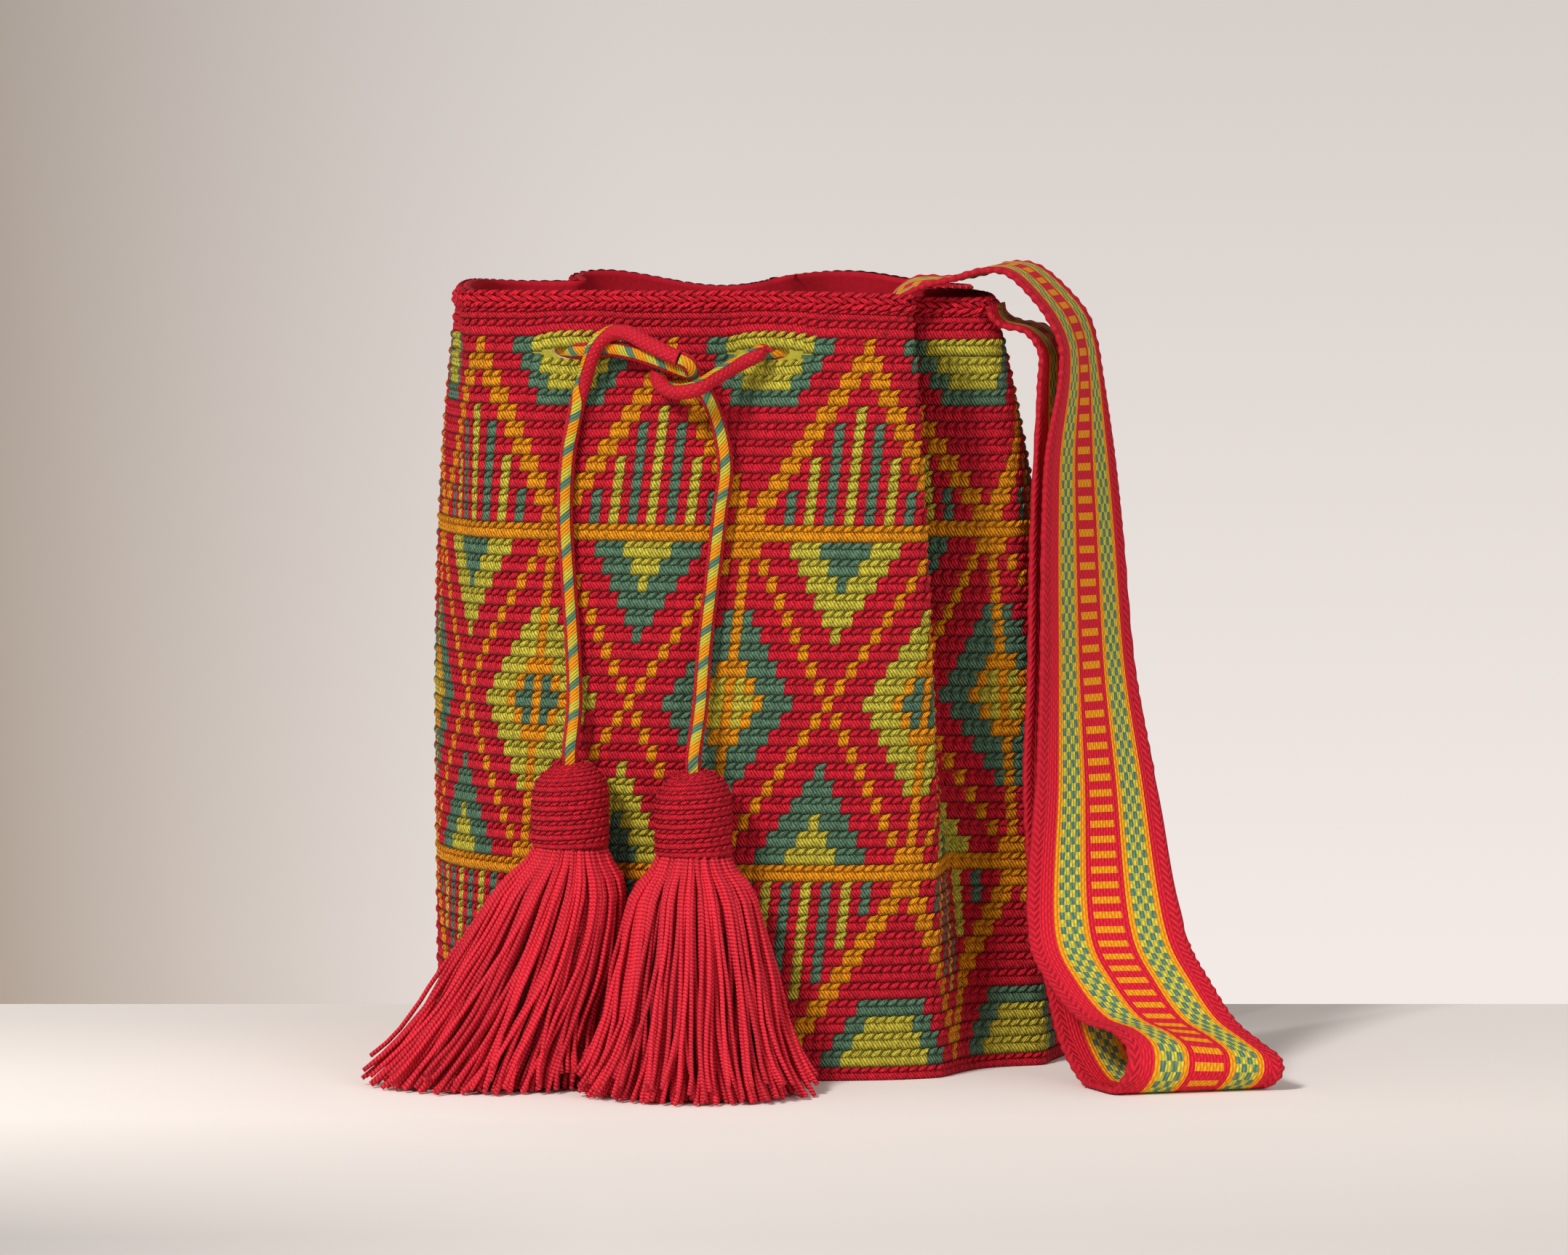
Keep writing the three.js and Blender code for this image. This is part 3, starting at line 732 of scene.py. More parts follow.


# Painted shade: the wall behind the stitches, its inside and the base take the yarn colours
# darkened to this share
GROUND_SHADE = 0.72
BASE_RINGS = (0.985, 0.94, 0.87, 0.8, 0.7, 0.6, 0.5, 0.4, 0.3, 0.2, 0.1, 0.02)


def wall_shell(material):
    """The wall itself, inside and out, with its base, as one closed mesh."""
    columns = np.arange(-STITCHES_ROUND // 2, STITCHES_ROUND // 2) - 0.5
    n = len(columns)
    rim = np.cumsum(RIM_ROUNDS)[::-1] / row_height()
    lowest = PATTERN_ROWS + 0.6 * BASE_EDGE / row_height()
    rows = np.concatenate([-rim + 0.05, np.arange(PATTERN_ROWS + 1), [lowest]])
    loops, grain, yarns = [], [], []

    def add(z, out, row, shrink=1.0):
        level = Round(float(np.clip(z, 0, HEIGHT)))
        points = wall_point(level.angle(columns), level.z, out, radial=True) * [shrink, shrink, 1]
        if z < BASE_EDGE:
            points[:, 2] = z
        loops.append(points)
        grain.append(np.stack([columns, np.full(n, row), np.zeros(n)], -1))
        cell = np.full(n, math.floor(row + 1e-6))
        known = 0 <= cell[0] < PATTERN_ROWS
        yarns.append(pattern((columns + 0.5).astype(int), cell) if known else np.full(n, RED))

    for row in rows:
        add(float(row_z(row)), -0.35 * MM, row)
    for k, shrink in enumerate(BASE_RINGS):
        add(0.4 * MM, -1.6 * MM, PATTERN_ROWS + 1 + k * 2, shrink)
    for k, shrink in enumerate(BASE_RINGS[::-1]):
        add(BASE_THICKNESS, -WALL, PATTERN_ROWS + 30 + k * 2, shrink)
    for row in rows[::-1][1:]:
        add(float(row_z(row)), -WALL, row - 1e-3)
    top = (len(loops) - 1) * n
    j = np.arange(n)
    rim_faces = np.stack([top + j, top + (j + 1) % n, (j + 1) % n, j], -1)
    faces = np.concatenate([grid_faces(len(loops), n, closed=True), rim_faces])[:, ::-1]
    mesh = mesh_from("bag_wall", np.concatenate(loops), faces, material=material)
    put_attribute(mesh, "grain", "FLOAT_VECTOR", "POINT", np.concatenate(grain))
    cells = np.concatenate([*yarns[:-1], np.full(n, RED)])
    # painted shade of the ground behind and inside the stitches
    put_attribute(mesh, "yarn", "FLOAT_COLOR", "FACE", yarn_colours()[cells] * GROUND_SHADE)
    return new_object("bag_wall", mesh)


def cut_eyelets(wall):
    """Cuts an oval slot through the wall at each eyelet."""
    level = Round(float(row_z(EYELET_ROW)))
    sides = 16
    a = np.linspace(0, 2 * math.pi, sides + 1)[:-1, None]
    points, faces = [], []
    for number in range(STITCHES_ROUND // MOTIF):
        stitches = number * MOTIF + MOTIF // 2 - STITCHES_ROUND // 2
        degrees = level.angle(np.array([stitches]))
        outside, inside = (wall_point(degrees, level.z, out * MM)[0] for out in (8, -12))
        outward = unit(outside - inside)
        along = unit(np.cross([0, 0, 1.0], outward))
        up = np.cross(outward, along)
        tall = EYELET_HALF[1] * float(eyelet_opening(stitches))
        ring = np.cos(a) * along * EYELET_HALF[0] + np.sin(a) * up * tall
        points += [*(inside + ring), *(outside + ring)]
        near, far = np.arange(2 * sides).reshape(2, sides) + number * 2 * sides
        faces += [near[::-1], far]
        faces += list(np.stack([near, np.roll(near, -1), np.roll(far, -1), far], -1))
    mesh = bpy.data.meshes.new("slots")
    mesh.from_pydata([tuple(p) for p in points], [], [tuple(int(i) for i in f) for f in faces])
    slots = new_object("slots", mesh)
    modifier = wall.modifiers.new("eyelets", "BOOLEAN")
    modifier.object = slots
    modifier.operation = "DIFFERENCE"
    modifier.solver = "EXACT"
    bake(wall)
    bpy.data.objects.remove(slots)


# Middle of a chain loop in its template, and width of the rim's loops in stitches
LOOP_MIDDLE = 0.815
ROPE_STITCH = 1.5


def rim_rope(name, template, middle_z, tall, out, rng, material):
    """A round of chain loops alone, its middle at a height, as on the braid and the rim's edge."""
    level = Round(middle_z)
    columns = np.arange(0, STITCHES_ROUND, ROPE_STITCH * 0.84) - STITCHES_ROUND / 2
    here = wall_point(level.angle(columns), middle_z, out)
    along = wall_point(level.angle(columns + 0.3), middle_z, out) - here
    here[:, 2] -= LOOP_MIDDLE * tall
    n = len(columns)
    size = np.tile([level.stitch * ROPE_STITCH, 1.9, tall], (n, 1))
    colours = yarn_colours()[RED] * (1 + rng.uniform(-0.07, 0.07, (n, 1)))
    up = np.tile([0, 0, 1.0], (n, 1))
    return place_stitches(name, template, here, along, up, size, colours, material)


SECTORS = (("front", -150, -50), ("right", -50, 60), ("back", 60, 150), ("left", 150, 210))


class MOCHILA_OT_wall(bpy.types.Operator):
    """Crochets the bag: its wall, base, eyelets and every stitch of the pattern"""

    bl_idname = "mochila.wall"
    bl_label = "Bag wall"

    def execute(self, context):
        rng = np.random.default_rng(7)
        yarn = stitch_finish()
        wall = wall_shell(plain_crochet_finish())
        cut_eyelets(wall)
        pieces = [wall]
        template = stitch_template()
        *parts, turn = wall_stitches(rng)
        for name, low, high in SECTORS:
            here = [part[(turn - low) % 360 < high - low] for part in parts]
            pieces.append(place_stitches(f"stitches_{name}", template, *here, yarn))
        chain = stitch_template(body=False)
        mirrored = stitch_template(body=False, lean=-1)
        braid = HEIGHT - RIM_ROUNDS[3] - RIM_ROUNDS[2] / 2
        for name, shape, middle, tall, out in (
            ("rim_braid_low", chain, braid - 1.1 * MM, 6.4 * MM, 0.1 * MM),
            ("rim_braid_high", mirrored, braid + 1.0 * MM, 6.4 * MM, 0.1 * MM),
            ("rim_edge", chain, HEIGHT - 1.1 * MM, 6.0 * MM, -1.0 * MM),
            ("rim_edge_inside", mirrored, HEIGHT - 1.3 * MM, 6.0 * MM, -2.6 * MM),
        ):
            pieces.append(rim_rope(name, shape, middle, tall, out, rng, yarn))
        for piece in pieces:
            ride(piece, "bag_crochet", "bag_body")
        for helper in (template, chain, mirrored):
            bpy.data.objects.remove(helper)
        return {"FINISHED"}


# ---- drawstring

# The ways of the tails in millimetres: X, height and distance in front of the wall
LEFT_TAIL = (
    (-54, 264.2, 5), (-43, 262.6, 8.5), (-34, 259.8, 9.6), (-26.5, 256.8, 10), (-22.6, 256.2, 12.5),
    (-24, 259.4, 15.3), (-31, 262.6, 15), (-39, 266.4, 13), (-46, 269.8, 11), (-52, 269.6, 9.6),
    (-57, 265.6, 9.4), (-59.6, 259.6, 8), (-61.6, 253, 5), (-64.4, 243, 4), (-67.6, 226, 4),
    (-68.7, 205, 4), (-67.4, 180, 4), (-65.8, 155, 4.6), (-65.3, 136, 8.5), (-66.6, 120, 16.8),
)
RIGHT_TAIL = (
    (1, 262.6, 7), (-7, 258.4, 11), (-14.5, 254.2, 15), (-21, 250.4, 17.6), (-28, 249.2, 14.5),
    (-33.6, 251.4, 8.5), (-34.8, 255.6, 4.2), (-30.5, 258.6, 3.6), (-24, 256.8, 3.6),
    (-18.6, 249.6, 3.8), (-14, 239.6, 4), (-10.8, 223, 4), (-12.8, 205, 4), (-15.4, 182, 4),
    (-18.2, 158, 4.6), (-19.8, 136, 8.5), (-22.2, 118, 15.6),
)
TASSEL_TOP = {"left": 0.116, "right": 0.114}
# The way that the wrapped side of the cord faces at each point of a tail
LEFT_FACING = "ffffffbbbulllfffffff"
RIGHT_FACING = "uuuuurfffffffffff"
FACING = {"f": (0, -1, 0), "b": (0, 1, 0), "u": (0, 0, 1), "l": (-1, -0.2, 0), "r": (1, -0.3, 0)}
# Eyelets that the cord threads at the back, and how far in it hangs between eyelets
THREADED = (4, 5, 6, 7)
RIGHT_SLACK, LEFT_SLACK, BACK_SLACK = 0.027, 0.003, 0.0015
HEAD_HEIGHT = 0.0305
HEAD_RADIUS = 0.0145


def front_y(x, z):
    """The wall's front at a place seen from the front."""
    degrees = np.linspace(-150, -56, 600)
    points = wall_point(degrees, z, 0)
    return np.interp(x, points[:, 0], points[:, 1])


def tail_point(place):
    x, z, out = (v * MM for v in place)
    return np.array([x, front_y(x, z) - out, z])


def head_place(side):
    tail = LEFT_TAIL if side == "left" else RIGHT_TAIL
    end = tail_point(tail[-1])
    return np.array([end[0], end[1], TASSEL_TOP[side]])


class EyeletRound:
    """The round of the eyelets, counted from the first one left of the front."""

    def __init__(self):
        self.level = Round(float(row_z(EYELET_ROW)))

    def point(self, number, along, out):
        stitches = (number * MOTIF) - 3 * MOTIF // 2 + along / self.level.stitch
        return wall_point(self.level.angle(np.array([stitches])), self.level.z, out)[0]


def stretch(start, end, shares, inward, z):
    middle = np.array([*RIM_SHIFT, z])
    out = []
    for share in shares:
        point = lerp(start, end, share)
        bow = math.sin(math.pi * share) * inward
        out.append(lerp(point, middle, bow / np.linalg.norm(point - middle)))
    return out


def drawstring_route():
    """The whole way of the cord: right tassel, round the bag through the eyelets, left tassel."""
    ring = EyeletRound()
    passes = []
    for i, number in enumerate(THREADED):
        way = 1 if i % 2 == 0 else -1
        steps = ((-11.5, -10), (-3, -5.4), (3, 1), (11.5, 4.9))
        steps = steps if way > 0 else steps[::-1]
        passes.append([ring.point(number, way * a * MM, o * MM) for a, o in steps])

    def hole(number, side):
        steps = ((-9, -8.6), (-2.6, -4.6), (3, 1.2))
        return [ring.point(number, side * a * MM, o * MM) for a, o in steps]

    def head_end(side):
        head = head_place(side)
        return [head - [0, 0, depth] for depth in (0.002, 0.021, 0.040)]

    right, left = hole(1, -1), hole(0, 1)
    z = ring.level.z
    route = head_end("right")[::-1] + [tail_point(p) for p in RIGHT_TAIL[::-1]] + right[::-1]
    route += stretch(right[0], passes[0][0], (0.25, 0.5, 0.75), RIGHT_SLACK, z)
    for i, points in enumerate(passes):
        route += points
        if i < len(passes) - 1:
            slack = BACK_SLACK if i % 2 else 0
            route += stretch(points[3], passes[i + 1][0], (0.5,), slack, z)
    route += stretch(passes[-1][3], left[0], (0.2, 0.4, 0.6, 0.8), LEFT_SLACK, z)
    return route + left + [tail_point(p) for p in LEFT_TAIL] + head_end("left")


def cord_facings(route):
    """The way that the cord's wrapped side faces, at each point of its route."""
    right = [FACING[letter] for letter in RIGHT_FACING]
    left = [FACING[letter] for letter in LEFT_FACING]
    start, end = len(right) + 3, len(left) + 3
    outward = [(x, y, 0) for x, y, _ in route[start:-end]]
    front = [FACING["f"]] * 3
    return np.array(front + right[::-1] + outward + left + front, float)


# Half of the wrapped side, in turns, and length of its three bands in millimetres
WRAPPED = 0.11
CORD_REPEAT = 12.2


def cord_finish():
    """Two-tone cord: red braid on both edges, wrapped bands of three yarns between them, with
    painted light and shade on its plies and painted shade along the seams.
    """
    yarns = yarn_colours()
    finish = Finish("cord_yarn", 0.8, 0.25)
    round_, along, _ = finish.split(finish.attribute("run"))
    fray = finish.noise(1100.0)
    place = along * 1000.0
    half = 0.5 - (round_ - 0.5).abs()
    wrapped = half < WRAPPED
    slant = place - (round_ + 0.5) % 1.0 * 15.0
    band = (slant / CORD_REPEAT) % 1.0
    colour = finish.mix(band < 0.42, yarns[LIME], yarns[ORANGE])
    colour = finish.mix(band > 0.74, colour, yarns[TEAL])
    strokes = (slant + fray * 0.3).wave(1.3)
    across = (round_ % 1.0) * 18.0
    braid = (place + across).wave(2.2) * (place - across).wave(2.2)
    ply = braid + (strokes - braid) * wrapped
    colour = finish.mix(wrapped, yarns[RED], colour)
    # painted shade along the seams where the wrapped bands meet the braid; painted light and shade
    # of the plies and the braid
    seam = ((half - WRAPPED).abs() * 40.0).clamp()
    light = (ply * 0.6 + fray * 0.5 + 0.42) * (seam * 0.5 + 0.5)
    return finish.done(colour, light, ply + seam, 0.5 * MM, 0.8)


CORD_SIDES = 20


class MOCHILA_OT_drawstring(bpy.types.Operator):
    """Lays the drawstring along its route through the eyelets and into the tassels"""

    bl_idname = "mochila.drawstring"
    bl_label = "Drawstring"

    def execute(self, context):
        knots = drawstring_route()
        both = smooth_route(np.concatenate([knots, cord_facings(knots) * MM], 1), 9)
        route = both[:, :3]
        radius = context.scene.mochila_sizes.cord / 2
        made = tube(route, radius, CORD_SIDES, facing=both[:, 3:])
        mesh = tube_mesh("drawstring_cord", [made], CORD_SIDES, cord_finish())
        ride(new_object("drawstring_cord", mesh), "cord", "drawstring")
        context.scene["cord_length"] = float(made[3])
        context.scene["cord_path"] = [float(v) for v in route.ravel()]
        return {"FINISHED"}


# ---- tassels

GOLDEN_ANGLE = 2.399963
SKIRT_TOP_RADIUS = 0.0134
SEAT_GAP = 0.0003
# How far each skirt's foot lies from its head, and its half widths there, across and in depth
SKIRTS = {
    "left": {"shift": (-0.030, -0.008), "half": (0.046, 0.035)},
    "right": {"shift": (0.001, -0.024), "half": (0.0445, 0.037)},
}
# How far the skirts have opened, by share of the way down
OPENING = ((0, 0.13, 0.32, 0.54, 0.74, 0.9, 1), (0, 0.19, 0.4, 0.57, 0.68, 0.82, 1))


def yarn_finish():
    """Two-ply red yarn of the tassels, its plies painted as light and shade."""
    finish = Finish("tassel_yarn", 0.78, 0.3)
    round_, along, _ = finish.split(finish.attribute("run"))
    fray = finish.noise(900.0)
    turn = round_ % 1.0
    ply = (along * 1000.0 + turn * 2.8).wave(1.4)
    strand = (round_ - turn) * 0.1
    red = yarn_colours()[RED]
    base = finish.mix(fray, red * 0.85, np.minimum(red * 1.15 + 0.015, 1))
    # painted light and shade of the two plies; each strand also a little lighter or darker at
    # random
    return finish.done(base, (ply * 0.8 + 0.72) * (strand * 0.4 + 0.85), ply, 0.5 * MM, 0.9)


def skirt_section(side, share):
    """Middle and half widths of a skirt at a share of its way down."""
    head = head_place(side)
    spread = SKIRTS[side]
    opening = float(np.interp(share, *OPENING))
    middle = head + np.array([*spread["shift"], 0]) * share ** 1.3
    middle[2] = lerp(head[2] - HEAD_HEIGHT - SEAT_GAP, 0, share)
    return middle, *(lerp(SKIRT_TOP_RADIUS, half, opening) for half in spread["half"])


def keep_off_bag(points, clearance):
    """Moves points forward, out of the bag's wall."""
    out = points.copy()
    for k in range(points.shape[1]):
        z = float(np.clip(points[:, k, 2].mean(), 0, HEIGHT))
        degrees = np.linspace(-178, -30, 500)
        front = wall_point(degrees, z, clearance)
        order = np.argsort(front[:, 0])
        limit = np.interp(points[:, k, 0], front[order, 0], front[order, 1])
        out[:, k, 1] = np.minimum(points[:, k, 1], limit)
    return out


def keep_out_of(points, side, clearance):
    """Moves points out of another skirt, sideways."""
    out = points.copy()
    for k in range(points.shape[1]):
        head = head_place(side)
        top = head[2] - HEAD_HEIGHT - SEAT_GAP
        share = float(np.clip(1 - points[:, k, 2].mean() / top, 0, 1))
        middle, wide, deep = skirt_section(side, share)
        dx = (points[:, k, 0] - middle[0]) / (wide + clearance)
        dy = (points[:, k, 1] - middle[1]) / (deep + clearance)
        inside = dx ** 2 + dy ** 2 < 1
        edge = -np.sqrt(np.maximum(0, 1 - dy ** 2)) * (wide + clearance) + middle[0]
        out[:, k, 0] = np.where(inside, edge, points[:, k, 0])
    return out


def skirt_strands(side, rng):
    """Middle lines of the strands of one tassel, strands by steps by XYZ."""
    sizes = bpy.context.scene.mochila_sizes
    count, steps, locks = sizes.strands, 16, 17
    radius = sizes.strand / 2
    angle = (np.arange(count) * GOLDEN_ANGLE) % (2 * math.pi)
    rank = (np.arange(count) + 0.5) / count
    lines = np.zeros((count, steps, 3))
    drift = rng.normal(0, 1, (count, 6))
    lock = np.floor(angle / (2 * math.pi) * locks) + 0.5 + 0.3 * np.sin(angle * 5)
    lock = lock / locks * 2 * math.pi
    for k in range(steps):
        share = k / (steps - 1)
        middle, wide, deep = skirt_section(side, share)
        shoulder = 1 + 0.1 * math.exp(-(((share - 0.16) / 0.12) ** 2))
        spread = 1 - (1 - rank) * lerp(0.2, 0.42, share)
        fill = lerp(np.sqrt(rank) * 0.9, spread, min(1, share * 5) ** 0.7)
        wave = np.sin(share * (5 + drift[:, 3]) + drift[:, 4] * 3) * 0.06 * share
        sway = share ** 1.4 * (drift[:, 0] * 0.075 + 0.05 * math.sin(share * 4 + 1)) + wave
        gather = 0.42 * math.sin(math.pi * min(1, share * 1.1)) ** 0.7
        a = lerp(angle, lock, gather) + sway
        reach = fill * (1 + 0.03 * np.sin(share * (7 + drift[:, 5]) + drift[:, 2]))
        reach = np.minimum(reach, 1) * shoulder
        lines[:, k, 0] = middle[0] + np.cos(a) * (wide - radius) * reach
        lines[:, k, 1] = middle[1] + np.sin(a) * (deep - radius) * reach
        lines[:, k, 2] = middle[2]
    ends = 1 - np.abs(drift[:, 2]) * 0.015 - rng.uniform(0, 0.09, count) * (rank > 0.8)
    lines[..., 2] = lines[:, :1, 2] + (lines[..., 2] - lines[:, :1, 2]) * ends[:, None]
    lines = keep_off_bag(lines, 0.6 * MM + radius)
    if side == "left":
        lines = keep_out_of(lines, "right", radius)
    lines[..., 2] = np.maximum(lines[..., 2], radius)
    lines[:, 0, 2] += 0.003
    return lines


def skirt_shade_core(side, material):
    """A dark sheet inside a skirt, seen between its strands: painted shade of the tassel's depth.
    """
    a = np.linspace(0, 2 * math.pi, 41)[:-1]
    loops = []
    for share in np.linspace(0, 1, 12):
        middle, wide, deep = skirt_section(side, share)
        inset = 0.0042 + 0.012 * share ** 3
        x, y = middle[0] + np.cos(a) * (wide - inset), middle[1] + np.sin(a) * (deep - inset)
        loops.append(np.stack([x, y, np.full(len(a), middle[2])], -1))
    points = keep_off_bag(np.stack(loops, 1), 2.2 * MM)
    if side == "left":
        points = keep_out_of(points, "right", 1 * MM)
    points[:, -1, 2] = 0.4 * MM
    return loft(f"skirt_core_{side}", points.transpose(1, 0, 2), material, down=True)


def shade_core_finish():
    """Painted shade in the depth of a tassel: dark red, in darker streaks."""
    finish = Finish("tassel_shade_core", 0.95)
    # painted shade: the red darkened to 0.3, its streaks darker still
    red = yarn_colours()[RED] * 0.3
    x, y, _ = finish.split(finish.place())
    streaks = (x * 1000.0 + y * 600.0).wave(1.7)
    return finish.done(finish.mix(streaks, red * 0.6, red))


# The cap's domed part, its courses, its radius at the cord and the width of its stitches
HEAD_DOME = 0.012
HEAD_COURSES = 10
HEAD_TOP_RADIUS = 0.0034
HEAD_STITCH = 0.0033


def head_profile(count):
    """(radius, height above the foot) of evenly spaced places from the cap's foot to its top."""
    a = np.linspace(0, math.pi / 2, 40)
    side = HEAD_RADIUS - 0.0011
    radius = np.concatenate([[side], HEAD_TOP_RADIUS + (side - HEAD_TOP_RADIUS) * np.cos(a)])
    height = np.concatenate([[0], HEAD_HEIGHT - HEAD_DOME + (HEAD_DOME - 0.0012) * np.sin(a)])
    run = np.concatenate([[0], np.cumsum(np.hypot(np.diff(radius), np.diff(height)))])
    places = np.linspace(0, run[-1], count)
    return np.interp(places, run, radius), np.interp(places, run, height)


def tassel_head(side, template, yarn, ground, rng):
    """The crocheted cap: stitches in courses round a domed core."""
    foot = head_place(side) - [0, 0, HEAD_HEIGHT]
    radius, height = head_profile(HEAD_COURSES + 1)
    out = []

    def ring(a, r, z):
        tilt = 0.0009 * np.cos(a - 0.3) * (z > 0.001)
        return foot + np.stack([np.cos(a) * r, np.sin(a) * r, z + tilt], -1)

    for k in range(HEAD_COURSES):
        count = max(7, int(round(2 * math.pi * radius[k] / HEAD_STITCH)))
        a = np.linspace(0, 2 * math.pi, count + 1)[:-1] + rng.uniform(0, 1)
        here, top = ring(a, radius[k], height[k]), ring(a, radius[k + 1], height[k + 1])
        along = np.stack([-np.sin(a), np.cos(a), np.zeros(count)], -1)
        wide = np.full(count, 2 * math.pi * radius[k] / count)
        tall = np.linalg.norm(top - here, axis=1)
        out.append((here, along, top - here, np.stack([wide, np.full(count, 0.8), tall], -1)))
    parts = [np.concatenate(part) for part in zip(*out)]
    colours = yarn_colours()[RED] * (1.12 + rng.uniform(-0.06, 0.08, (len(parts[0]), 1)))
    cap = place_stitches(f"tassel_cap_{side}", template, *parts, colours, yarn)
    a = np.linspace(0, 2 * math.pi, 33)[:-1]
    loops = [ring(a, r - 0.2 * MM, z) for r, z in zip(*head_profile(16))]
    core = loft(f"cap_core_{side}", loops, ground)
    # painted shade: the cap's core under its stitches takes the red darkened to 0.6
    shade = np.tile(yarn_colours()[RED] * 0.6, (len(core.data.polygons), 1))
    put_attribute(core.data, "yarn", "FLOAT_COLOR", "FACE", shade)
    return cap, core


STRAND_SIDES = 5


class MOCHILA_OT_tassels(bpy.types.Operator):
    """Makes both tassels: the crocheted caps and the strands that hang from them"""

    bl_idname = "mochila.tassels"
    bl_label = "Tassels"

    def execute(self, context):
        rng = np.random.default_rng(11)
        sizes = context.scene.mochila_sizes
        template = stitch_template()
        yarn = bpy.data.materials.get("crochet_yarn") or stitch_finish()
        ground = bpy.data.materials.get("crochet_ground") or plain_crochet_finish()
        strand_yarn, core = yarn_finish(), shade_core_finish()
        on_cord = []
        for side in ("left", "right"):
            caps = tassel_head(side, template, yarn, ground, rng)
            tubes = [
                tube(line, sizes.strand / 2, STRAND_SIDES, strand=number * 7 % 11)
                for number, line in enumerate(skirt_strands(side, rng))
            ]
            name = f"tassel_strands_{side}"
            strands = new_object(name, tube_mesh(name, tubes, STRAND_SIDES, strand_yarn))
            inside = skirt_shade_core(side, core)
            for piece in caps:
                ride(piece, "tassel_crochet", f"tassel_head_{side}")
            for piece in (strands, inside):
                ride(piece, "tassel_yarn", f"tassel_skirt_{side}")
            on_cord += [*caps, strands, inside]
        bpy.data.objects.remove(template)
        return {"FINISHED"}


# ---- strap

# The band's way in millimetres: near edge, far edge, bow of its middle
STRAP_ROUTE = (
    ((-95.7, -46, 281), (-98.4, 14, 281), -3), ((-95.9, -46, 272.5), (-98.6, 14, 272.5), -3),
    ((-92.5, -47, 270.6), (-94, 13, 270.6), 0), ((-82, -50, 270), (-82, 10, 270), 0),
    ((-66, -51, 268), (-65, 9, 268), 0), ((-36, -57, 259), (-32, 3, 259), 0),
    ((-2, -66, 256), (6, -7, 256), 0), ((30, -70, 266), (40, -12, 270), 0),
    ((51, -71.5, 280.5), (58, -14, 287.4), 0), ((60, -72, 285.8), (73, -14, 288), 0),
    ((70.6, -70, 288.4), (84.5, -12, 290), 0), ((82.4, -66, 291.5), (96, -8, 293.3), 0),
    ((91, -64, 290.7), (105, -6, 292), 0), ((101.8, -63, 280.7), (117, -5, 282), 0),
    ((107.6, -62, 272.2), (123.5, -5, 273.5), 0), ((111, -62, 263.8), (126.5, -4.5, 264), 0),
    ((111, -63, 252.7), (128.5, -6, 252), 0), ((106, -67, 225), (132.5, -13, 224), 0),
    ((104.5, -70, 197), (135.5, -19, 195), 0), ((103.7, -76, 145.5), (139.8, -28, 145), 0),
    ((102, -85, 107), (146.5, -45, 106), 0), ((98.6, -105, 51), (156.5, -90, 50), 0),
    ((105.3, -118, 37), (163.9, -105, 36), 0), ((116.2, -130, 25.5), (173, -116, 22.5), 0),
    ((126.6, -138, 22.6), (182, -124, 15.5), 0), ((131.9, -144, 17.5), (188, -130, 11), 0),
    ((131.7, -148, 9.2), (188.5, -132, 6.8), 0), ((127, -144, 1.5), (184, -127, 1.5), 0),
    ((118, -124, 1.5), (174, -104, 1.5), 0), ((110, -110, 14), (166, -90, 12), 0),
    ((105, -99, 34), (161, -79, 32), 0), ((100, -91, 62), (153, -64, 60), 0),
    ((97.5, -80, 105), (142, -40, 104), 0), ((99.3, -72.6, 145), (135.5, -24.6, 144.5), 0),
    ((100.4, -66.5, 197), (131.4, -15.3, 195), 0), ((103.3, -60, 249), (120.8, -3, 248), 0),
    ((103.5, -60, 262), (118, -2, 262), 0), ((98, -60.5, 269.5), (108, -2, 269.5), 0),
    ((89.5, -61.5, 271.5), (98, -2.5, 271.5), -1), ((85.6, -62.5, 274.5), (91.5, -3.2, 274.5), -3),
    ((84.4, -62.5, 278.5), (90.5, -3.2, 278.5), -3),
)


# Places on the band as shares of its width: the ladder, orange lines and checks count from the
# middle of the ladder, and the selvedge from the middle of the band
LADDER_MIDDLE, LADDER_HALF = 0.52, 0.092
LINES = ((0.132, 0.17), (0.315, 0.352))
CHECKS = (0.17, 0.315)
SELVEDGE = 0.425
WEAVE_REPEAT = 6.1  # millimetres


def strap_finish():
    """Warp-faced weave: red ground, ladder of orange rungs, two checked stripes edged in orange."""
    yarns = yarn_colours()
    finish = Finish("strap_yarn", 0.82, 0.25)
    across, along, _ = finish.split(finish.attribute("run"))
    fray = finish.noise(1000.0)
    place = along * 1000.0
    side = (across - LADDER_MIDDLE).abs()
    ladder = (side < LADDER_HALF) * (place % WEAVE_REPEAT < 2.75)
    line = side.within(*LINES[0]) + side.within(*LINES[1])
    cell = ((side - CHECKS[0]) * 27.6) % 2.0 < 1.0
    teal = (cell - (place % WEAVE_REPEAT < 3.05)).abs()
    colour = finish.mix(teal, yarns[LIME], yarns[TEAL])
    colour = finish.mix(side.within(*CHECKS), yarns[RED], colour)
    colour = finish.mix((line + ladder).clamp(), colour, yarns[ORANGE])
    edge = (across - 0.5).abs() > SELVEDGE
    thread = across * (60.0 * 0.8)
    floats = (place + (thread - thread % 1.0) * 1.53 + fray * 0.3).wave(3.05)
    warp = floats * 0.5 + (thread + 0.75).wave(1.0) * 0.5
    from_edge = (0.5 - (across - 0.5).abs()) * 60.0
    strokes = (place + (from_edge - 2.2).abs() * 1.3 + fray * 0.5).wave(2.9)
    braid = strokes * (from_edge * 0.4 + 0.3).clamp()
    ply = warp + (braid - warp) * edge
    # painted light and shade of the warp floats and the selvedge's braid strokes, the strokes
    # darker towards the outer edge; the selvedges are also a little darker
    light = (ply * 0.75 + fray * 0.5 + 0.46) * (1 - edge * 0.12)
    return finish.done(colour, light, ply + (1 - edge) * 0.2, 0.5 * MM, 0.9)


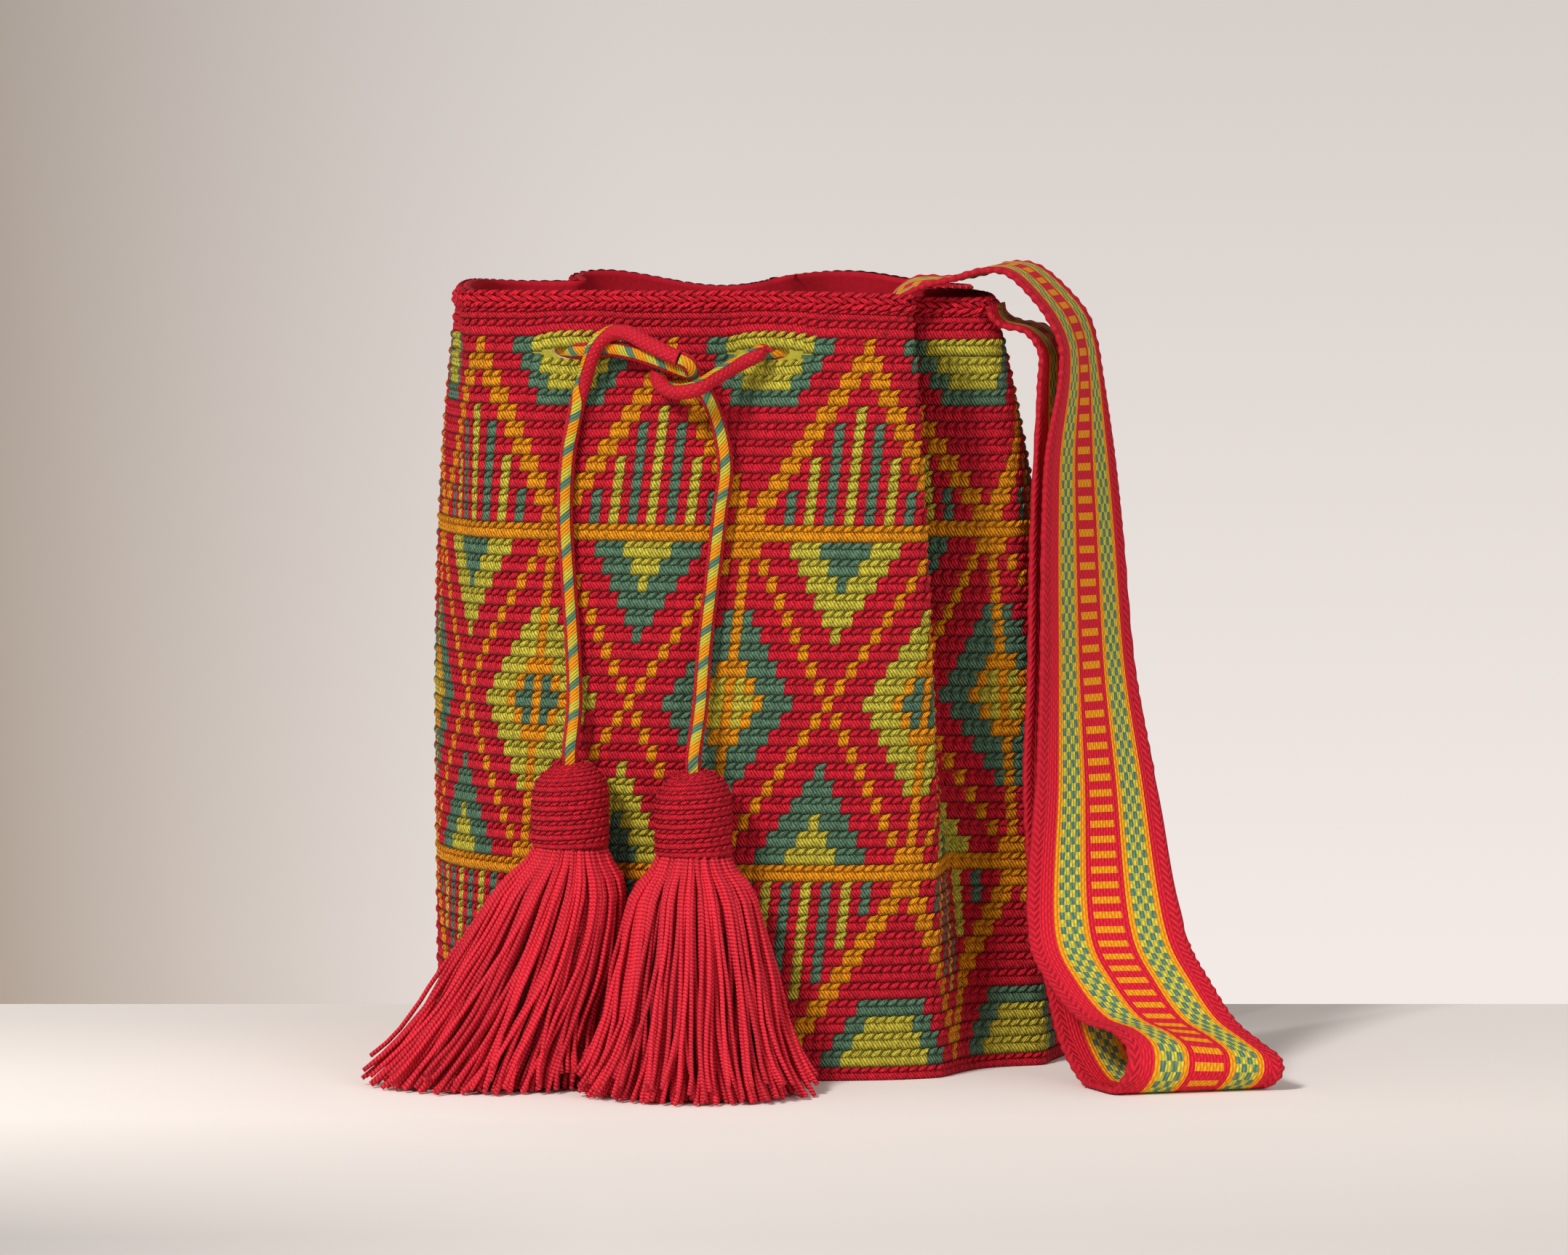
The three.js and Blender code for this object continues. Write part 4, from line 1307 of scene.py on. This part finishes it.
def strap_mesh(material, thickness):
    """The band with its thick braided selvedges, and its length."""
    near, far, bow = (
        smooth_route(np.array(knots) * MM, 16)
        for knots in zip(*((near, far, (bow, 0, 0)) for near, far, bow in STRAP_ROUTE))
    )
    width, middle = far - near, (near + far) / 2
    normal = unit(np.cross(unit(np.gradient(middle, axis=0)), width))
    run = np.concatenate([[0], np.cumsum(np.linalg.norm(np.diff(middle, axis=0), axis=1))])
    edge = np.linspace(0, 0.09, 7)
    across = np.concatenate([edge, np.linspace(0.12, 0.88, 15), 1 - edge[::-1]])
    u = 2 * across - 1
    selvedge = np.abs(u) > 0.85
    tuft = np.sin((np.abs(u) - 0.85) / 0.15 * math.pi).clip(0, 1) * selvedge
    twist = 0.5 + 0.5 * np.sin(run[:, None] / 4.4 / MM * 2 * math.pi + across * 8)
    half = thickness / 2 * np.where(selvedge, 0.75, 1.0) + tuft * (0.25 + 0.5 * twist) * 0.9 * MM
    edge_out = np.where(np.abs(u) > 0.93, (twist - 0.5) * 0.7 * MM * np.sign(u), 0)
    lift = bow[:, :1] * (1 - u ** 2)
    centre = middle[:, None] + width[:, None] * (u[:, None] / 2) + normal[:, None] * lift[..., None]
    centre = centre + unit(width)[:, None] * edge_out[..., None]
    upper = centre + normal[:, None] * half[..., None]
    lower = centre - normal[:, None] * half[..., None]
    loop = np.concatenate([upper, lower[:, ::-1]], 1)
    loop[..., 2] += np.maximum(0, 0.3 * MM - loop[..., 2].min(1))[:, None]
    places = np.concatenate([across, across[::-1]])
    n, m = loop.shape[:2]
    faces = grid_faces(n, m, closed=True)
    uv = np.stack([places[faces % m], run[faces // m]], -1).reshape(-1, 2)
    ends = [tuple(range(m))[::-1], tuple((n - 1) * m + k for k in range(m))]
    mesh = mesh_from("strap_band", loop.reshape(-1, 3), list(faces) + ends, uv, material)
    return mesh, float(run[-1])


class MOCHILA_OT_strap(bpy.types.Operator):
    """Weaves the shoulder strap along its way over the mouth and down to the floor"""

    bl_idname = "mochila.strap"
    bl_label = "Shoulder strap"

    def execute(self, context):
        mesh, length = strap_mesh(strap_finish(), context.scene.mochila_sizes.band)
        strap = new_object("strap_band", mesh)
        ride(strap, "strap_weave", "strap")
        return {"FINISHED"}


# ---- stage

CAMERA_PLACE = (0.0103, -2.7, 0.337)
CAMERA_PITCH = math.atan(662.5 / 9947)
CAMERA_LENS = 9947 / 2156 * 36
FLOOR_BACK = 0.131


def floor_finish():
    """Pale matt floor with a painted pool of light on the left, and painted shade towards the front
    and near its back edge on the left.
    """
    finish = Finish("floor_paper", 0.85, 0.15)
    x, y, _ = finish.split(finish.place())
    # painted light: brighter on the left; painted shade towards the front, and near the back edge
    # where it is bright
    bright = ((x * -1.0 - 0.05) * 4.5).clamp()
    near = ((y * -1.0 - 0.2) * 3.6).clamp()
    far = (y * 6.0 + 0.5).clamp() * bright
    shade = (bright * 0.14 + 1.0) * (1 - near * (bright * 0.34 + 0.2)) * (1 - far * 0.14)
    return finish.done(tuple(bpy.context.scene.mochila_yarns.floor), shade)


# The backdrop's tones are set out on a plane 1.2 m behind the bag, as seen from the camera
BACKDROP_BACK = 3.2
NEARER = (1.2 - CAMERA_PLACE[1]) / (BACKDROP_BACK - CAMERA_PLACE[1])


def backdrop_finish():
    """A backdrop that glows with its tones for camera rays, painted light and shade: dusky on the
    left, pale on the right, darker higher up.
    """
    yarns = bpy.context.scene.mochila_yarns
    finish = Finish("backdrop_paper", 0.9)
    x, _, z = finish.split(finish.place())
    x, z = x * NEARER, z * NEARER + CAMERA_PLACE[2] * (1 - NEARER)
    # painted shade: dusky towards the left and darker higher up
    to_right = ((x + 0.43 + z * 0.12) * 2.4).clamp()
    high = ((z + 0.1) * 1.5).clamp()
    tone = finish.mix((1 - to_right) ** 1.5, tuple(yarns.backdrop), tuple(yarns.backdrop_dusk))
    tone = finish.shade(tone, 1 - high * 0.32)
    material = finish.done(tone)
    surface = Wire(finish.tree, finish.surface.outputs[0])
    # painted light: the backdrop glows with its tone though it is no lamp
    glow = finish.wire.add("ShaderNodeEmission", 0, Color=tone, Strength=1.0)
    seen = finish.wire.add("ShaderNodeLightPath", "Is Camera Ray")
    both = finish.wire.add("ShaderNodeMixShader", 0, i0=seen, i1=surface, i2=glow)
    output = finish.tree.nodes["Material Output"]
    finish.tree.links.new(both.socket, output.inputs["Surface"])
    return material


def sheet_object(name, corners, material):
    return new_object(name, mesh_from(name, corners, [(0, 1, 2, 3)], material=material))


class MOCHILA_OT_stage(bpy.types.Operator):
    """Sets up the pale floor and backdrop, the soft lights and the camera"""

    bl_idname = "mochila.stage"
    bl_label = "Stage"

    def execute(self, context):
        scene = context.scene
        scene.view_settings.view_transform = "Standard"
        floor = sheet_object("floor", [
            (-3, -3.2, 0), (3, -3.2, 0), (3, FLOOR_BACK, 0), (-3, FLOOR_BACK, 0),
        ], floor_finish())
        backdrop = sheet_object("backdrop", [
            (x, BACKDROP_BACK, z) for x, z in ((-6, -3), (6, -3), (6, 4.5), (-6, 4.5))
        ], backdrop_finish())

        world = scene.world or bpy.data.worlds.new("world")
        scene.world = world
        world.use_nodes = True
        background = world.node_tree.nodes["Background"]
        background.inputs["Color"].default_value = (1.0, 0.97, 0.94, 1)
        background.inputs["Strength"].default_value = 0.4

        def lamp(name, place, target, size, energy, colour):
            light = bpy.data.lights.new(name, "AREA")
            light.size = size
            light.energy = energy
            light.color = colour
            obj = bpy.data.objects.new(name, light)
            scene.collection.objects.link(obj)
            obj.location = place
            aim = Vector(target) - Vector(place)
            obj.rotation_euler = aim.to_track_quat("-Z", "Y").to_euler()

        lamp("key", (-1.25, -2.0, 1.9), (0, 0, 0.14), 0.5, 66, (1.0, 0.97, 0.94))
        lamp("fill", (1.5, -2.4, 0.9), (0, 0, 0.12), 1.0, 13, (1.0, 0.98, 0.96))

        camera = bpy.data.cameras.new("camera")
        camera.sensor_fit = "HORIZONTAL"
        camera.sensor_width = 36
        camera.lens = CAMERA_LENS
        camera.clip_end = 50
        eye = bpy.data.objects.new("camera", camera)
        scene.collection.objects.link(eye)
        eye.location = CAMERA_PLACE
        eye.rotation_euler = (math.pi / 2 - CAMERA_PITCH, 0, 0)
        scene.camera = eye
        return {"FINISHED"}


# ---- panel and registration


class MOCHILA_PT_panel(bpy.types.Panel):
    """Lists the bag's pieces, sizes and colours"""

    bl_idname = "MOCHILA_PT_panel"
    bl_label = "Mochila bag"
    bl_space_type = "VIEW_3D"
    bl_region_type = "UI"
    bl_category = "Mochila"

    def draw(self, context):
        layout = self.layout
        for group in (context.scene.mochila_sizes, context.scene.mochila_yarns):
            box = layout.box()
            for key in group.bl_rna.properties.keys():
                if key not in {"rna_type", "name"}:
                    box.prop(group, key)
        for operator in OPERATORS:
            layout.operator(operator.bl_idname)


OPERATORS = (
    MOCHILA_OT_stage, MOCHILA_OT_drawstring, MOCHILA_OT_wall, MOCHILA_OT_tassels, MOCHILA_OT_strap,
)
CLASSES = (MochilaYarns, MochilaSizes, *OPERATORS, MOCHILA_PT_panel)


def register():
    for cls in CLASSES:
        bpy.utils.register_class(cls)
    bpy.types.Scene.mochila_yarns = bpy.props.PointerProperty(type=MochilaYarns)
    bpy.types.Scene.mochila_sizes = bpy.props.PointerProperty(type=MochilaSizes)


def unregister():
    del bpy.types.Scene.mochila_sizes
    del bpy.types.Scene.mochila_yarns
    for cls in reversed(CLASSES):
        bpy.utils.unregister_class(cls)


def main():
    register()
    bpy.ops.mochila.stage()
    bpy.ops.mochila.drawstring()
    bpy.ops.mochila.wall()
    bpy.ops.mochila.tassels()
    bpy.ops.mochila.strap()


if __name__ == "__main__":
    main()
